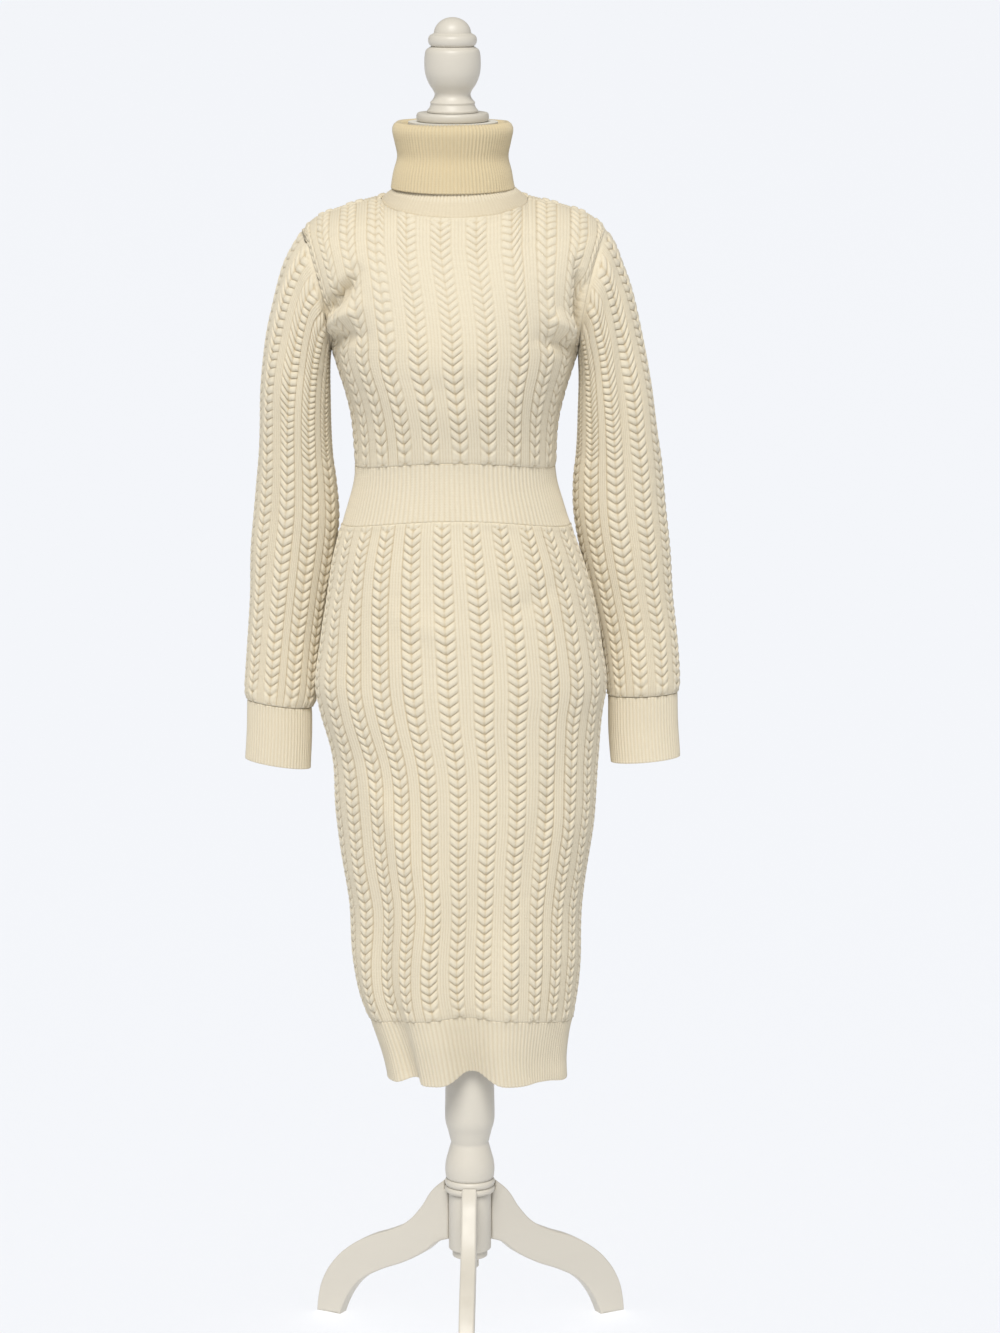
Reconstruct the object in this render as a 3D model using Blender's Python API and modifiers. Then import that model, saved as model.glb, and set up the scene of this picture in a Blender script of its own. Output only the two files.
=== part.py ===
# Cable-knit sweater dress with a folded turtleneck, standing on a turned wooden dress form.
# Metres, +Z up. The front faces -Y; left and right are as seen from the front, so left is -X.
# The tables are measured from the pole: its axis is x = 0, y = 0 in them, and the floor is z = 0.

from collections import namedtuple
from math import cos, degrees, exp, pi, radians, sin

import bmesh
import bpy
from mathutils import Vector

# ---- driving dimensions -------------------------------------------------------------------
POLE_X = 0.008            # the pole stands this far from the middle of the whole object's box
POLE_Y = 0.0434
BODY_X = -0.016           # the torso and bodice lean this far to -X of the pole
SEAM = 0.0003             # clear gap between two pieces that meet
WALL = 0.003              # thickness of the knitted cloth
TORSO_CLEAR = 0.0085      # from the outside of the cloth to the torso under it

PANEL_GAP = 0.00075       # the skirt's panels stop this short of the bands' seams
SIDE_TRIM = 0.0097        # radians from the side seam to the edge of a skirt panel
PANEL_CLEAR = 0.0011      # from the side seam's plane to the edge of a bodice panel
SLEEVE_CLEAR = 0.0011     # from the armhole to the sleeve, and what its tip and underarm add
SLEEVE_CLEAR_ENDS = 0.0018

AROUND_HALF = 18          # cells across a front or a back panel
SKIRT_ROWS = 13
BAND_ROWS = 3
AROUND_WAIST = 32
AROUND_HEM = 48
AROUND_SLEEVE = 18
AROUND_NECK = 24
AROUND_TORSO = 36
TURN_STEPS = 28           # sides of a turned piece

LEG_THICK = 0.018
LEG_ROUND = 0.0015
LEG_LEAN = radians(1.0)   # the front leg points this much to -X

# ---- the dress below the bust: one row for each height ------------------------------------
# centre is the section's middle in x, half its half width, front and back its two depths
Section = namedtuple("Section", "z centre half front back")
SKIRT = [
    Section(0.300, 0.0098, 0.1040, 0.0640, 0.0700),
    Section(0.325, 0.0088, 0.1058, 0.0680, 0.0740),
    Section(0.350, 0.0060, 0.1082, 0.0720, 0.0780),
    Section(0.375, 0.0036, 0.1132, 0.0770, 0.0830),
    Section(0.394, 0.0021, 0.1183, 0.0800, 0.0860),
    Section(0.425, -0.0012, 0.1262, 0.0850, 0.0900),
    Section(0.466, -0.0036, 0.1321, 0.0880, 0.0930),
    Section(0.539, -0.0047, 0.1353, 0.0910, 0.0980),
    Section(0.597, -0.0056, 0.1444, 0.0950, 0.1030),
    Section(0.640, -0.0046, 0.1495, 0.0980, 0.1080),
    Section(0.712, -0.0050, 0.1538, 0.1020, 0.1160),
    Section(0.769, -0.0095, 0.1630, 0.1060, 0.1220),
    Section(0.795, -0.0095, 0.1672, 0.1080, 0.1240),
    Section(0.847, -0.0095, 0.1622, 0.1090, 0.1230),
    Section(0.894, -0.0105, 0.1544, 0.1080, 0.1150),
    Section(0.941, -0.0124, 0.1438, 0.1060, 0.1040),
    Section(0.981, -0.0145, 0.1320, 0.1020, 0.0940),
    Section(1.009, -0.0150, 0.1233, 0.0985, 0.0890),
    Section(1.037, -0.0158, 0.1162, 0.0960, 0.0865),
    Section(1.052, -0.0160, 0.1148, 0.0960, 0.0865),
    Section(1.075, -0.0160, 0.1146, 0.0985, 0.0880),
]

# heights of the seams at the side, the middle of the front and the middle of the back
Seam = namedtuple("Seam", "side front back")
WAIST_TOP = Seam(1.0515, 1.0670, 1.0560)
WAIST_BOTTOM = Seam(0.9840, 1.0020, 0.9880)
HEM_TOP = Seam(0.3950, 0.4110, 0.4040)
HEM_EDGE = Seam(0.3230, 0.3270, 0.3250)

# soft folds that run up from the hem: around is where the fold meets the hem, in degrees from
# +X towards +Y, drift turns it on the way up, and it has gone at the height top
Fold = namedtuple("Fold", "around depth width drift top")
FOLDS = [
    Fold(-94, 0.0300, 17, 0, 0.66),
    Fold(-142, 0.0110, 11, 6, 0.70),
    Fold(-38, 0.0060, 16, -8, 0.62),
    Fold(72, 0.0220, 16, 4, 0.62),
    Fold(124, 0.0130, 14, -6, 0.72),
    Fold(20, 0.0070, 12, 5, 0.58),
]
FOLD_LIFT = 0.45          # the hem rises this share of a fold's depth
FOLD_NARROW = 0.65        # share of a fold's pull that also draws the section's sides in
FOLD_SPREAD = 0.5         # a fold is this much wider at its top
FOLD_FADE = 1.6           # how fast it gets shallower on the way up

# ---- the bodice ---------------------------------------------------------------------------
# The armhole is a tilted ellipse: 180 degrees is the underarm and 0 the shoulder's tip.
UNDERARM_HALF, UNDERARM_Z = 0.1420, 1.1900
TIP_HALF, TIP_Z = 0.1715, 1.3245
ARMHOLE_FRONT, ARMHOLE_BACK, ARMHOLE_BOW = 0.0520, 0.0560, 0.0060

# edge_z and half place a row's ends on the side seam or the shoulder seam; on the armhole
# the angle does, and wrap is how far round the row has turned where it ends
Row = namedtuple("Row", "angle edge_z half wrap front_z front back_z back")
BODICE = [
    Row(None, 1.0520, 0.1147, 90, 1.0675, 0.0970, 1.0565, 0.0870),
    Row(None, 1.0850, 0.1160, 90, 1.0980, 0.1060, 1.0900, 0.0900),
    Row(None, 1.1120, 0.1190, 90, 1.1220, 0.1140, 1.1170, 0.0940),
    Row(None, 1.1400, 0.1256, 90, 1.1470, 0.1210, 1.1430, 0.0980),
    Row(None, 1.1650, 0.1340, 90, 1.1720, 0.1245, 1.1680, 0.1010),
    Row(180, 0, 0, 88, 1.1960, 0.1240, 1.1920, 0.1025),
    Row(150, 0, 0, 76, 1.2180, 0.1205, 1.2150, 0.1030),
    Row(120, 0, 0, 68, 1.2400, 0.1150, 1.2400, 0.1025),
    Row(90, 0, 0, 64, 1.2630, 0.1080, 1.2650, 0.1010),
    Row(60, 0, 0, 66, 1.2840, 0.1005, 1.2900, 0.0980),
    Row(30, 0, 0, 74, 1.3020, 0.0935, 1.3120, 0.0920),
    Row(0, 0, 0, 84, 1.3140, 0.0890, 1.3280, 0.0850),
    Row(None, 1.3404, 0.1514, 90, 1.3240, 0.0850, 1.3430, 0.0770),
    Row(None, 1.3535, 0.1130, 90, 1.3350, 0.0805, 1.3570, 0.0670),
    Row(None, 1.3583, 0.0837, 90, 1.3440, 0.0760, 1.3670, 0.0580),
]

# ---- the neck: rows of the middle of the cloth, from the seam up, over and down -------------
NeckRow = namedtuple("NeckRow", "radius side_z front_z back_z")
NECK_SQUASH = 0.97        # depth over width
COLLAR = [
    NeckRow(0.0625, 1.3713, 1.3605, 1.3774),
    NeckRow(0.0590, 1.3800, 1.3740, 1.3840),
    NeckRow(0.0562, 1.4060, 1.4060, 1.4060),
    NeckRow(0.0562, 1.4330, 1.4330, 1.4330),
    NeckRow(0.0580, 1.4410, 1.4410, 1.4410),
    NeckRow(0.0618, 1.4440, 1.4440, 1.4440),
    NeckRow(0.0658, 1.4410, 1.4410, 1.4410),
    NeckRow(0.0668, 1.4350, 1.4350, 1.4350),
    NeckRow(0.0640, 1.4220, 1.4220, 1.4220),
    NeckRow(0.0612, 1.4060, 1.4060, 1.4060),
    NeckRow(0.0655, 1.3880, 1.3880, 1.3880),
    NeckRow(0.0686, 1.3700, 1.3690, 1.3720),
]
BAND_TOP = Row(None, 1.3672, 0.0642, 90, 1.3560, 0.0640, 1.3740, 0.0560)
BAND_BOTTOM = Row(None, 1.3592, 0.0835, 90, 1.3462, 0.0760, 1.3679, 0.0580)

# ---- the sleeves: tilted ovals from the armhole down to the cuff ---------------------------
# outer and inner are the oval's ends away from and next to the body, from the pole's axis
Oval = namedtuple("Oval", "outer_x outer_z inner_x inner_z middle_y front back")
LEFT_SLEEVE = [
    Oval(0.1990, 1.3065, 0.1592, 1.1770, 0.000, 0.0530, 0.0565),
    Oval(0.2100, 1.2850, 0.1597, 1.1640, 0.001, 0.0525, 0.0555),
    Oval(0.2180, 1.2600, 0.1600, 1.1500, 0.002, 0.0515, 0.0535),
    Oval(0.2245, 1.2300, 0.1602, 1.1350, 0.003, 0.0500, 0.0515),
    Oval(0.2318, 1.1900, 0.1604, 1.1150, 0.004, 0.0475, 0.0490),
    Oval(0.2370, 1.1450, 0.1600, 1.0920, 0.006, 0.0450, 0.0460),
    Oval(0.2398, 1.0950, 0.1583, 1.0620, 0.009, 0.0420, 0.0430),
    Oval(0.2420, 1.0500, 0.1545, 1.0320, 0.012, 0.0395, 0.0400),
    Oval(0.2465, 1.0000, 0.1520, 0.9900, 0.016, 0.0365, 0.0370),
    Oval(0.2510, 0.9500, 0.1565, 0.9430, 0.021, 0.0335, 0.0335),
    Oval(0.2535, 0.9000, 0.1645, 0.8930, 0.026, 0.0310, 0.0310),
    Oval(0.2565, 0.8500, 0.1720, 0.8420, 0.030, 0.0290, 0.0290),
    Oval(0.2610, 0.7900, 0.1785, 0.7810, 0.032, 0.0275, 0.0275),
    Oval(0.2596, 0.7710, 0.1843, 0.7612, 0.032, 0.0250, 0.0250),
]
RIGHT_SLEEVE = [
    Oval(0.1665, 1.3065, 0.1264, 1.1770, 0.000, 0.0530, 0.0565),
    Oval(0.1748, 1.2850, 0.1268, 1.1640, 0.001, 0.0525, 0.0555),
    Oval(0.1838, 1.2600, 0.1269, 1.1500, 0.002, 0.0515, 0.0535),
    Oval(0.1915, 1.2300, 0.1268, 1.1350, 0.003, 0.0500, 0.0515),
    Oval(0.1998, 1.1900, 0.1266, 1.1150, 0.004, 0.0475, 0.0490),
    Oval(0.2075, 1.1450, 0.1264, 1.0920, 0.006, 0.0450, 0.0460),
    Oval(0.2143, 1.0950, 0.1250, 1.0660, 0.009, 0.0425, 0.0430),
    Oval(0.2215, 1.0500, 0.1218, 1.0350, 0.012, 0.0400, 0.0400),
    Oval(0.2265, 1.0000, 0.1225, 0.9920, 0.016, 0.0370, 0.0370),
    Oval(0.2318, 0.9500, 0.1305, 0.9440, 0.021, 0.0340, 0.0340),
    Oval(0.2355, 0.9000, 0.1425, 0.8940, 0.027, 0.0315, 0.0315),
    Oval(0.2412, 0.8500, 0.1535, 0.8430, 0.032, 0.0295, 0.0295),
    Oval(0.2442, 0.7950, 0.1600, 0.7900, 0.034, 0.0280, 0.0280),
    Oval(0.2430, 0.7790, 0.1618, 0.7755, 0.034, 0.0255, 0.0255),
]
LEFT_CUFF = [
    Oval(0.2592, 0.7703, 0.1847, 0.7605, 0.032, 0.0245, 0.0245),
    Oval(0.2602, 0.7350, 0.1850, 0.7245, 0.032, 0.0235, 0.0235),
    Oval(0.2625, 0.6998, 0.1865, 0.6880, 0.033, 0.0240, 0.0240),
]
RIGHT_CUFF = [
    Oval(0.2427, 0.7783, 0.1622, 0.7748, 0.034, 0.0250, 0.0250),
    Oval(0.2438, 0.7400, 0.1632, 0.7350, 0.034, 0.0240, 0.0240),
    Oval(0.2464, 0.7025, 0.1659, 0.6955, 0.033, 0.0245, 0.0245),
]

# ---- the form's torso above the armpits, under the cloth -----------------------------------
SHOULDERS = [
    Section(1.215, BODY_X, 0.1330, 0.1110, 0.0940),
    Section(1.250, BODY_X, 0.1360, 0.1000, 0.0920),
    Section(1.285, BODY_X, 0.1420, 0.0870, 0.0860),
    Section(1.310, BODY_X, 0.1440, 0.0740, 0.0770),
    Section(1.325, BODY_X, 0.1380, 0.0650, 0.0690),
    Section(1.336, BODY_X, 0.1200, 0.0580, 0.0600),
    Section(1.343, BODY_X - 0.0005, 0.0930, 0.0530, 0.0540),
    Section(1.350, BODY_X - 0.0010, 0.0640, 0.0510, 0.0515),
    Section(1.362, BODY_X - 0.0012, 0.0525, 0.0505, 0.0505),
    Section(1.405, BODY_X - 0.0014, 0.0515, 0.0500, 0.0500),
    Section(1.4455, BODY_X - 0.0016, 0.0510, 0.0495, 0.0495),
]
TORSO_HEIGHTS = [0.749, 0.775, 0.81, 0.85, 0.89, 0.93, 0.97, 1.01, 1.045]
TORSO_BOTTOM = 0.745
TORSO_RIM = 0.006         # the bottom's edge is rounded in by this much
BUST_CLEAR = 0.002        # extra room between the torso and the cloth at the chest
UNDERARM_CLEAR = 0.002

# ---- turned pieces: radius and height, top to bottom ---------------------------------------
Turn = namedtuple("Turn", "radius z")
NECK_X = BODY_X - 0.0020  # middle of the collar, the neck plate and the finial
PLATE_TOP, PLATE_BOTTOM, PLATE_RADIUS, PLATE_ROUND = 1.4560, 1.4460, 0.0413, 0.0025
FINIAL_DOME = Turn(0.0212, 1.5440)
FINIAL_TOP = 1.5630
FINIAL_RING = Turn(0.0277, 1.5371)
FINIAL_RING_ROUND = Turn(0.0045, 0.0066)
FINIAL_VASE = [
    Turn(0.0262, 1.5292),
    Turn(0.0306, 1.5250),
    Turn(0.0320, 1.5130),
    Turn(0.0311, 1.5000),
    Turn(0.0272, 1.4888),
    Turn(0.0222, 1.4810),
    Turn(0.0204, 1.4763),
    Turn(0.0218, 1.4718),
    Turn(0.0256, 1.4672),
]
FINIAL_FOOT = [
    Turn(0.0250, 1.4648),
    Turn(0.0264, 1.4612),
    Turn(0.0290, 1.4582),
    Turn(0.0290, 1.4563),
]
POST_TOP = Turn(0.0235, TORSO_BOTTOM - SEAM)
POST = [
    Turn(0.0235, 0.7000),
    Turn(0.0255, 0.5500),
    Turn(0.0275, 0.4000),
    Turn(0.0288, 0.3100),
    Turn(0.0293, 0.2800),
    Turn(0.0287, 0.2680),
    Turn(0.0256, 0.2565),
    Turn(0.0228, 0.2450),
]
POST_NECK = Turn(0.0220, 0.2428)
POST_VASE = [
    Turn(0.0226, 0.2405),
    Turn(0.0250, 0.2320),
    Turn(0.0282, 0.2200),
    Turn(0.0292, 0.2100),
    Turn(0.0286, 0.2010),
]
COLLAR_TOP, COLLAR_GROOVE, COLLAR_BOTTOM = 0.1985, 0.1895, 0.1815
COLLAR_RADIUS, COLLAR_ROUND = 0.0296, 0.0035
POST_BOTTOM = Turn(0.0270, COLLAR_TOP + SEAM)
HUB_RADIUS, HUB_BOTTOM = 0.0251, 0.1115
NUT_RADIUS, NUT_BOTTOM = 0.0208, 0.1022
BOLT_RADIUS, BOLT_BOTTOM = 0.0105, 0.0885
ROD_EDGE = 0.0012         # the chamfer on the hub, the nut and the bolt
ON_AXIS = 1e-6            # a profile's end nearer than this to the axis closes there

# ---- a leg's outline: reach from the pole's axis, and height -------------------------------
Point = namedtuple("Point", "reach z corner")
LEG_GAP = 0.0004
LEG = [
    Point(HUB_RADIUS + LEG_GAP, 0.1200, True),
    Point(HUB_RADIUS + LEG_GAP, COLLAR_BOTTOM - LEG_GAP, True),
    Point(COLLAR_RADIUS + 2 * LEG_GAP, COLLAR_BOTTOM - LEG_GAP, True),
    Point(COLLAR_RADIUS + 2 * LEG_GAP, 0.1930, True),
    Point(0.0480, 0.1770, False),
    Point(0.0640, 0.1530, False),
    Point(0.0840, 0.1315, False),
    Point(0.1080, 0.1178, False),
    Point(0.1380, 0.1048, False),
    Point(0.1630, 0.0895, False),
    Point(0.1860, 0.0680, False),
    Point(0.2030, 0.0400, False),
    Point(0.2090, 0.0170, False),
    Point(0.2108, 0.0, True),
    Point(0.1785, 0.0, True),
    Point(0.1750, 0.0090, False),
    Point(0.1640, 0.0300, False),
    Point(0.1480, 0.0485, False),
    Point(0.1210, 0.0655, False),
    Point(0.0870, 0.0812, False),
    Point(0.0600, 0.0975, False),
    Point(0.0400, 0.1140, False),
]
LEG_ANGLES = {
    "leg_front": radians(-90) - LEG_LEAN,
    "leg_back_right": radians(30),
    "leg_back_left": radians(150),
}

COLOURS = {
    "knit": ((0.86, 0.79, 0.64), 0.92),
    "rib_knit": ((0.84, 0.77, 0.61), 0.92),
    "torso_cover": ((0.80, 0.77, 0.70), 0.85),
    "painted_wood": ((0.77, 0.75, 0.68), 0.38),
}


# ---- small helpers --------------------------------------------------------------------------
def clear_scene():
    for item in list(bpy.data.objects):
        bpy.data.objects.remove(item, do_unlink=True)


def make_material(name):
    colour, roughness = COLOURS[name]
    material = bpy.data.materials.new(name)
    material.use_nodes = True
    shader = material.node_tree.nodes["Principled BSDF"]
    shader.inputs["Base Color"].default_value = (*colour, 1.0)
    shader.inputs["Roughness"].default_value = roughness
    shader.inputs["Metallic"].default_value = 0.0
    return material


def add_object(name, data, material):
    item = bpy.data.objects.new(name, data)
    item.data.materials.append(material)
    collection.objects.link(item)
    item.parent = frame
    return item


def between(rows, key, at):
    """Every column of a table at one height, on a smooth curve through its rows."""
    rows = sorted(rows, key=lambda row: getattr(row, key))
    keys = [getattr(row, key) for row in rows]
    at = min(max(at, keys[0]), keys[-1])
    i = max(k for k in range(len(rows) - 1) if keys[k] <= at)
    step = keys[i + 1] - keys[i]
    t = (at - keys[i]) / step
    values = []
    for column in range(len(rows[0])):
        p = [row[column] for row in rows]
        before = (p[i + 1] - p[i - 1]) / (keys[i + 1] - keys[i - 1]) if i else (p[1] - p[0]) / step
        last = i + 2 >= len(rows)
        after = (p[i + 1] - p[i]) / step if last else (p[i + 2] - p[i]) / (keys[i + 2] - keys[i])
        values.append(
            p[i] * (2 * t**3 - 3 * t**2 + 1)
            + p[i + 1] * (3 * t**2 - 2 * t**3)
            + before * step * (t**3 - 2 * t**2 + t)
            + after * step * (t**3 - t**2)
        )
    return type(rows[0])(*values)


def grid_object(name, rings, material, closed, offset=-1.0):
    """A cloth wall: an open surface through the rings, thickened with Solidify."""
    mesh = bmesh.new()
    loops = [[mesh.verts.new(point) for point in ring] for ring in rings]
    count = len(rings[0])
    for low, high in zip(loops, loops[1:]):
        for i in range(count if closed else count - 1):
            j = (i + 1) % count
            mesh.faces.new((low[i], low[j], high[j], high[i]))
    data = bpy.data.meshes.new(name)
    mesh.to_mesh(data)
    mesh.free()
    data.shade_smooth()
    item = add_object(name, data, material)
    wall = item.modifiers.new("wall", "SOLIDIFY")
    wall.thickness = WALL
    wall.offset = offset
    wall.use_even_offset = True
    return item


# ---- the body's surface -----------------------------------------------------------------------
def fold_at(angle, z):
    """How far the folds pull the cloth in, at an angle in radians and a height."""
    pull = 0.0
    for fold in FOLDS:
        rise = min(max((z - HEM_EDGE.side) / (fold.top - HEM_EDGE.side), 0.0), 1.0)
        off = (degrees(angle) - fold.around - fold.drift * rise + 180) % 360 - 180
        width = fold.width * (1 + FOLD_SPREAD * rise)
        pull += fold.depth * exp(-((off / width) ** 2)) * (1 - rise) ** FOLD_FADE
    return pull


def body_point(angle, z):
    """The dress's outside below the bust, at an angle from +X and a height."""
    row = between(SKIRT, "z", z)
    depth = row.front if sin(angle) < 0 else row.back
    keep = 1 - fold_at(angle, z) / depth
    x = row.centre + row.half * cos(angle) * (1 - FOLD_NARROW + FOLD_NARROW * keep)
    return Vector((x, depth * sin(angle) * keep, z))


def seam_height(seam, angle):
    middle = seam.front if sin(angle) < 0 else seam.back
    return seam.side + (middle - seam.side) * sin(angle) ** 2


def hem_height(angle):
    return seam_height(HEM_EDGE, angle) + FOLD_LIFT * fold_at(angle, HEM_EDGE.side)


def seam_angles(start):
    """Angles across a half section, held clear of the side seams at both ends."""
    low, high = start + SIDE_TRIM, start + pi - SIDE_TRIM
    return [low + (high - low) * i / AROUND_HALF for i in range(AROUND_HALF + 1)]


def armhole(angle, side, clear=0.0):
    """A point on the armhole; side is -1 or 1 in x, and clear moves it away from the body."""
    turn = radians(angle)
    middle_half, middle_z = (UNDERARM_HALF + TIP_HALF) / 2, (UNDERARM_Z + TIP_Z) / 2
    half = middle_half + (TIP_HALF - UNDERARM_HALF) / 2 * cos(turn)
    half -= ARMHOLE_BOW * sin(turn) ** 2
    depth = ARMHOLE_FRONT if sin(turn) > 0 else ARMHOLE_BACK
    z = middle_z + (TIP_Z - UNDERARM_Z) / 2 * cos(turn)
    return Vector((BODY_X + side * (half + clear), -depth * sin(turn), z))


def bodice_point(row, across, front):
    """A point of a bodice row; across runs from -1 at the -X end to 1."""
    face = -1 if front else 1
    middle_z, middle = (row.front_z, row.front) if front else (row.back_z, row.back)
    edge = Vector((BODY_X + row.half, 0.0, row.edge_z))
    if row.angle is not None:
        edge = armhole(row.angle if front else -row.angle, 1)
    wrap = radians(row.wrap)
    turn = across * wrap
    share = (cos(turn) - cos(wrap)) / (1 - cos(wrap))
    edge_y = abs(edge.y) + PANEL_CLEAR
    x = BODY_X + (edge.x - BODY_X) * sin(turn) / sin(wrap)
    y = face * (edge_y + (middle - edge_y) * share)
    return Vector((x, y, edge.z + (middle_z - edge.z) * share))


def make_bodice(name, front, material):
    rings = []
    for row in BODICE:
        ring = [bodice_point(row, 2 * i / AROUND_HALF - 1, front) for i in range(AROUND_HALF + 1)]
        rings.append(ring if front else ring[::-1])
    return grid_object(name, rings, material, closed=False)


def make_skirt(name, start, material):
    angles = seam_angles(start)
    rings = []
    for k in range(SKIRT_ROWS + 1):
        ring = []
        for angle in angles:
            low = seam_height(HEM_TOP, angle) + PANEL_GAP
            high = seam_height(WAIST_BOTTOM, angle) - PANEL_GAP
            ring.append(body_point(angle, low + (high - low) * k / SKIRT_ROWS))
        rings.append(ring)
    return grid_object(name, rings, material, closed=False)


def make_band(name, low_of, high_of, around, material):
    """A ribbed band round the body, between two heights that vary round it."""
    rings = []
    for k in range(BAND_ROWS + 1):
        ring = []
        for i in range(around):
            angle = 2 * pi * i / around
            low, high = low_of(angle), high_of(angle)
            ring.append(body_point(angle, low + (high - low) * k / BAND_ROWS))
        rings.append(ring)
    return grid_object(name, rings, material, closed=True)


# ---- neck and sleeves ---------------------------------------------------------------------------
def neck_ring(row):
    ring = []
    for i in range(AROUND_NECK):
        angle = 2 * pi * i / AROUND_NECK
        middle_z = row.front_z if sin(angle) < 0 else row.back_z
        z = row.side_z + (middle_z - row.side_z) * sin(angle) ** 2
        ring.append(Vector((NECK_X + row.radius * cos(angle), row.radius * NECK_SQUASH * sin(angle), z)))
    return ring


def band_ring(row):
    """A full ring from a bodice row, so that the band follows the neckline."""
    ring = []
    for i in range(AROUND_NECK):
        angle = 2 * pi * i / AROUND_NECK
        front = sin(angle) < 0
        depth = row.front if front else row.back
        middle_z = row.front_z if front else row.back_z
        z = row.edge_z + (middle_z - row.edge_z) * abs(sin(angle))
        ring.append(Vector((BODY_X + row.half * cos(angle), depth * sin(angle), z)))
    return ring


def oval_ring(oval, side):
    """A tilted oval, counter-clockwise from above, its outer end first for either side."""
    middle = Vector((side * (oval.outer_x + oval.inner_x) / 2, 0, (oval.outer_z + oval.inner_z) / 2))
    reach = Vector((side * (oval.outer_x - oval.inner_x) / 2, 0, (oval.outer_z - oval.inner_z) / 2))
    ring = []
    for i in range(AROUND_SLEEVE):
        turn = 2 * pi * i / AROUND_SLEEVE * side
        depth = oval.back if sin(turn) * side > 0 else oval.front
        y = oval.middle_y + depth * sin(turn) * side
        ring.append(middle + reach * cos(turn) + Vector((0, y, 0)))
    return ring


def make_sleeve(name, ovals, side, material):
    start = []
    for i in range(AROUND_SLEEVE):
        turn = -360 * i / AROUND_SLEEVE
        clear = SLEEVE_CLEAR + SLEEVE_CLEAR_ENDS * max(cos(radians(turn)), 0) ** 2
        start.append(armhole(turn, side, clear))
    rings = [start] + [oval_ring(oval, side) for oval in ovals]
    if side > 0:
        rings = rings[::-1]
    return grid_object(name, rings, material, closed=True)


def make_cuff(name, ovals, side, material):
    rings = [oval_ring(oval, side) for oval in ovals]
    if side > 0:
        rings = rings[::-1]
    return grid_object(name, rings, material, closed=True)


# ---- the dress form -------------------------------------------------------------------------------
def make_torso(material):
    """One solid form: ovals inside the cloth, capped at the neck and under the hips."""
    sections = [between(SKIRT, "z", z) for z in TORSO_HEIGHTS]
    ovals = [Section(s.z, s.centre, s.half - TORSO_CLEAR, s.front - TORSO_CLEAR, s.back - TORSO_CLEAR)
             for s in sections]
    for row in BODICE[1:6]:
        half = UNDERARM_HALF - UNDERARM_CLEAR if row.angle else row.half
        ovals.append(Section(
            row.edge_z or UNDERARM_Z,
            BODY_X,
            half - TORSO_CLEAR,
            row.front - TORSO_CLEAR - BUST_CLEAR,
            row.back - TORSO_CLEAR,
        ))
    ovals += SHOULDERS
    rim = ovals[0]
    ovals.insert(0, Section(
        TORSO_BOTTOM, rim.centre, rim.half - TORSO_RIM, rim.front - TORSO_RIM, rim.back - TORSO_RIM))
    mesh = bmesh.new()
    loops = []
    for oval in ovals:
        loop = []
        for i in range(AROUND_TORSO):
            angle = 2 * pi * i / AROUND_TORSO
            depth = oval.front if sin(angle) < 0 else oval.back
            loop.append(mesh.verts.new((oval.centre + oval.half * cos(angle), depth * sin(angle), oval.z)))
        loops.append(loop)
    for low, high in zip(loops, loops[1:]):
        for i in range(AROUND_TORSO):
            j = (i + 1) % AROUND_TORSO
            mesh.faces.new((low[i], low[j], high[j], high[i]))
    mesh.faces.new(loops[0][::-1])
    mesh.faces.new(loops[-1])
    data = bpy.data.meshes.new("torso")
    mesh.to_mesh(data)
    mesh.free()
    data.shade_smooth()
    data.set_sharp_from_angle(angle=radians(50))
    return add_object("torso", data, material)


def arc(middle_radius, middle_z, radius, height, start, end, steps):
    """Points on an elliptical arc in the profile's plane, in degrees from +radius."""
    points = []
    for i in range(steps + 1):
        turn = radians(start + (end - start) * i / steps)
        points.append(Turn(middle_radius + radius * cos(turn), middle_z + height * sin(turn)))
    return points


def smoothed(rows, steps=3):
    """Points on a smooth curve through a profile's rows, top to bottom."""
    points = [rows[0]]
    for high, low in zip(rows, rows[1:]):
        for i in range(1, steps + 1):
            z = high.z + (low.z - high.z) * i / steps
            points.append(between(rows, "z", z))
    return points


def turned(name, profile, material, x=0.0):
    """A turned solid: the profile runs down its outer side and closes on the axis."""
    points = [Turn(0.0, profile[0].z)] + profile + [Turn(0.0, profile[-1].z)]
    if profile[0].radius < ON_AXIS:
        points = points[1:]
    mesh = bmesh.new()
    verts = [mesh.verts.new((point.radius, 0, point.z)) for point in points]
    for a, b in zip(verts, verts[1:]):
        mesh.edges.new((a, b))
    data = bpy.data.meshes.new(name)
    mesh.to_mesh(data)
    mesh.free()
    item = add_object(name, data, material)
    item.location.x = x
    screw = item.modifiers.new("turning", "SCREW")
    screw.axis = "Z"
    screw.steps = TURN_STEPS
    screw.render_steps = TURN_STEPS
    screw.use_merge_vertices = True
    screw.merge_threshold = 0.00005
    screw.use_smooth_shade = True
    return item


def make_finial(material):
    dome_height = FINIAL_TOP - FINIAL_DOME.z
    profile = arc(0, FINIAL_DOME.z, FINIAL_DOME.radius, dome_height, 90, 4, 7)
    profile += arc(FINIAL_RING.radius - FINIAL_RING_ROUND.radius, FINIAL_RING.z,
                   FINIAL_RING_ROUND.radius, FINIAL_RING_ROUND.z, 84, -84, 7)
    profile += smoothed(FINIAL_VASE, 2)
    profile += FINIAL_FOOT
    return turned("finial", profile, material, NECK_X)


def make_plate(material):
    edge = (PLATE_TOP - PLATE_BOTTOM - SEAM) / 2
    middle = PLATE_BOTTOM + edge
    profile = arc(PLATE_RADIUS - PLATE_ROUND, middle, PLATE_ROUND, edge, 90, -90, 6)
    return turned("neck_plate", profile, material, NECK_X)


def make_post(material):
    profile = [POST_TOP] + smoothed(POST, 2) + [POST_NECK] + smoothed(POST_VASE, 2) + [POST_BOTTOM]
    return turned("post", profile, material)


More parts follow.
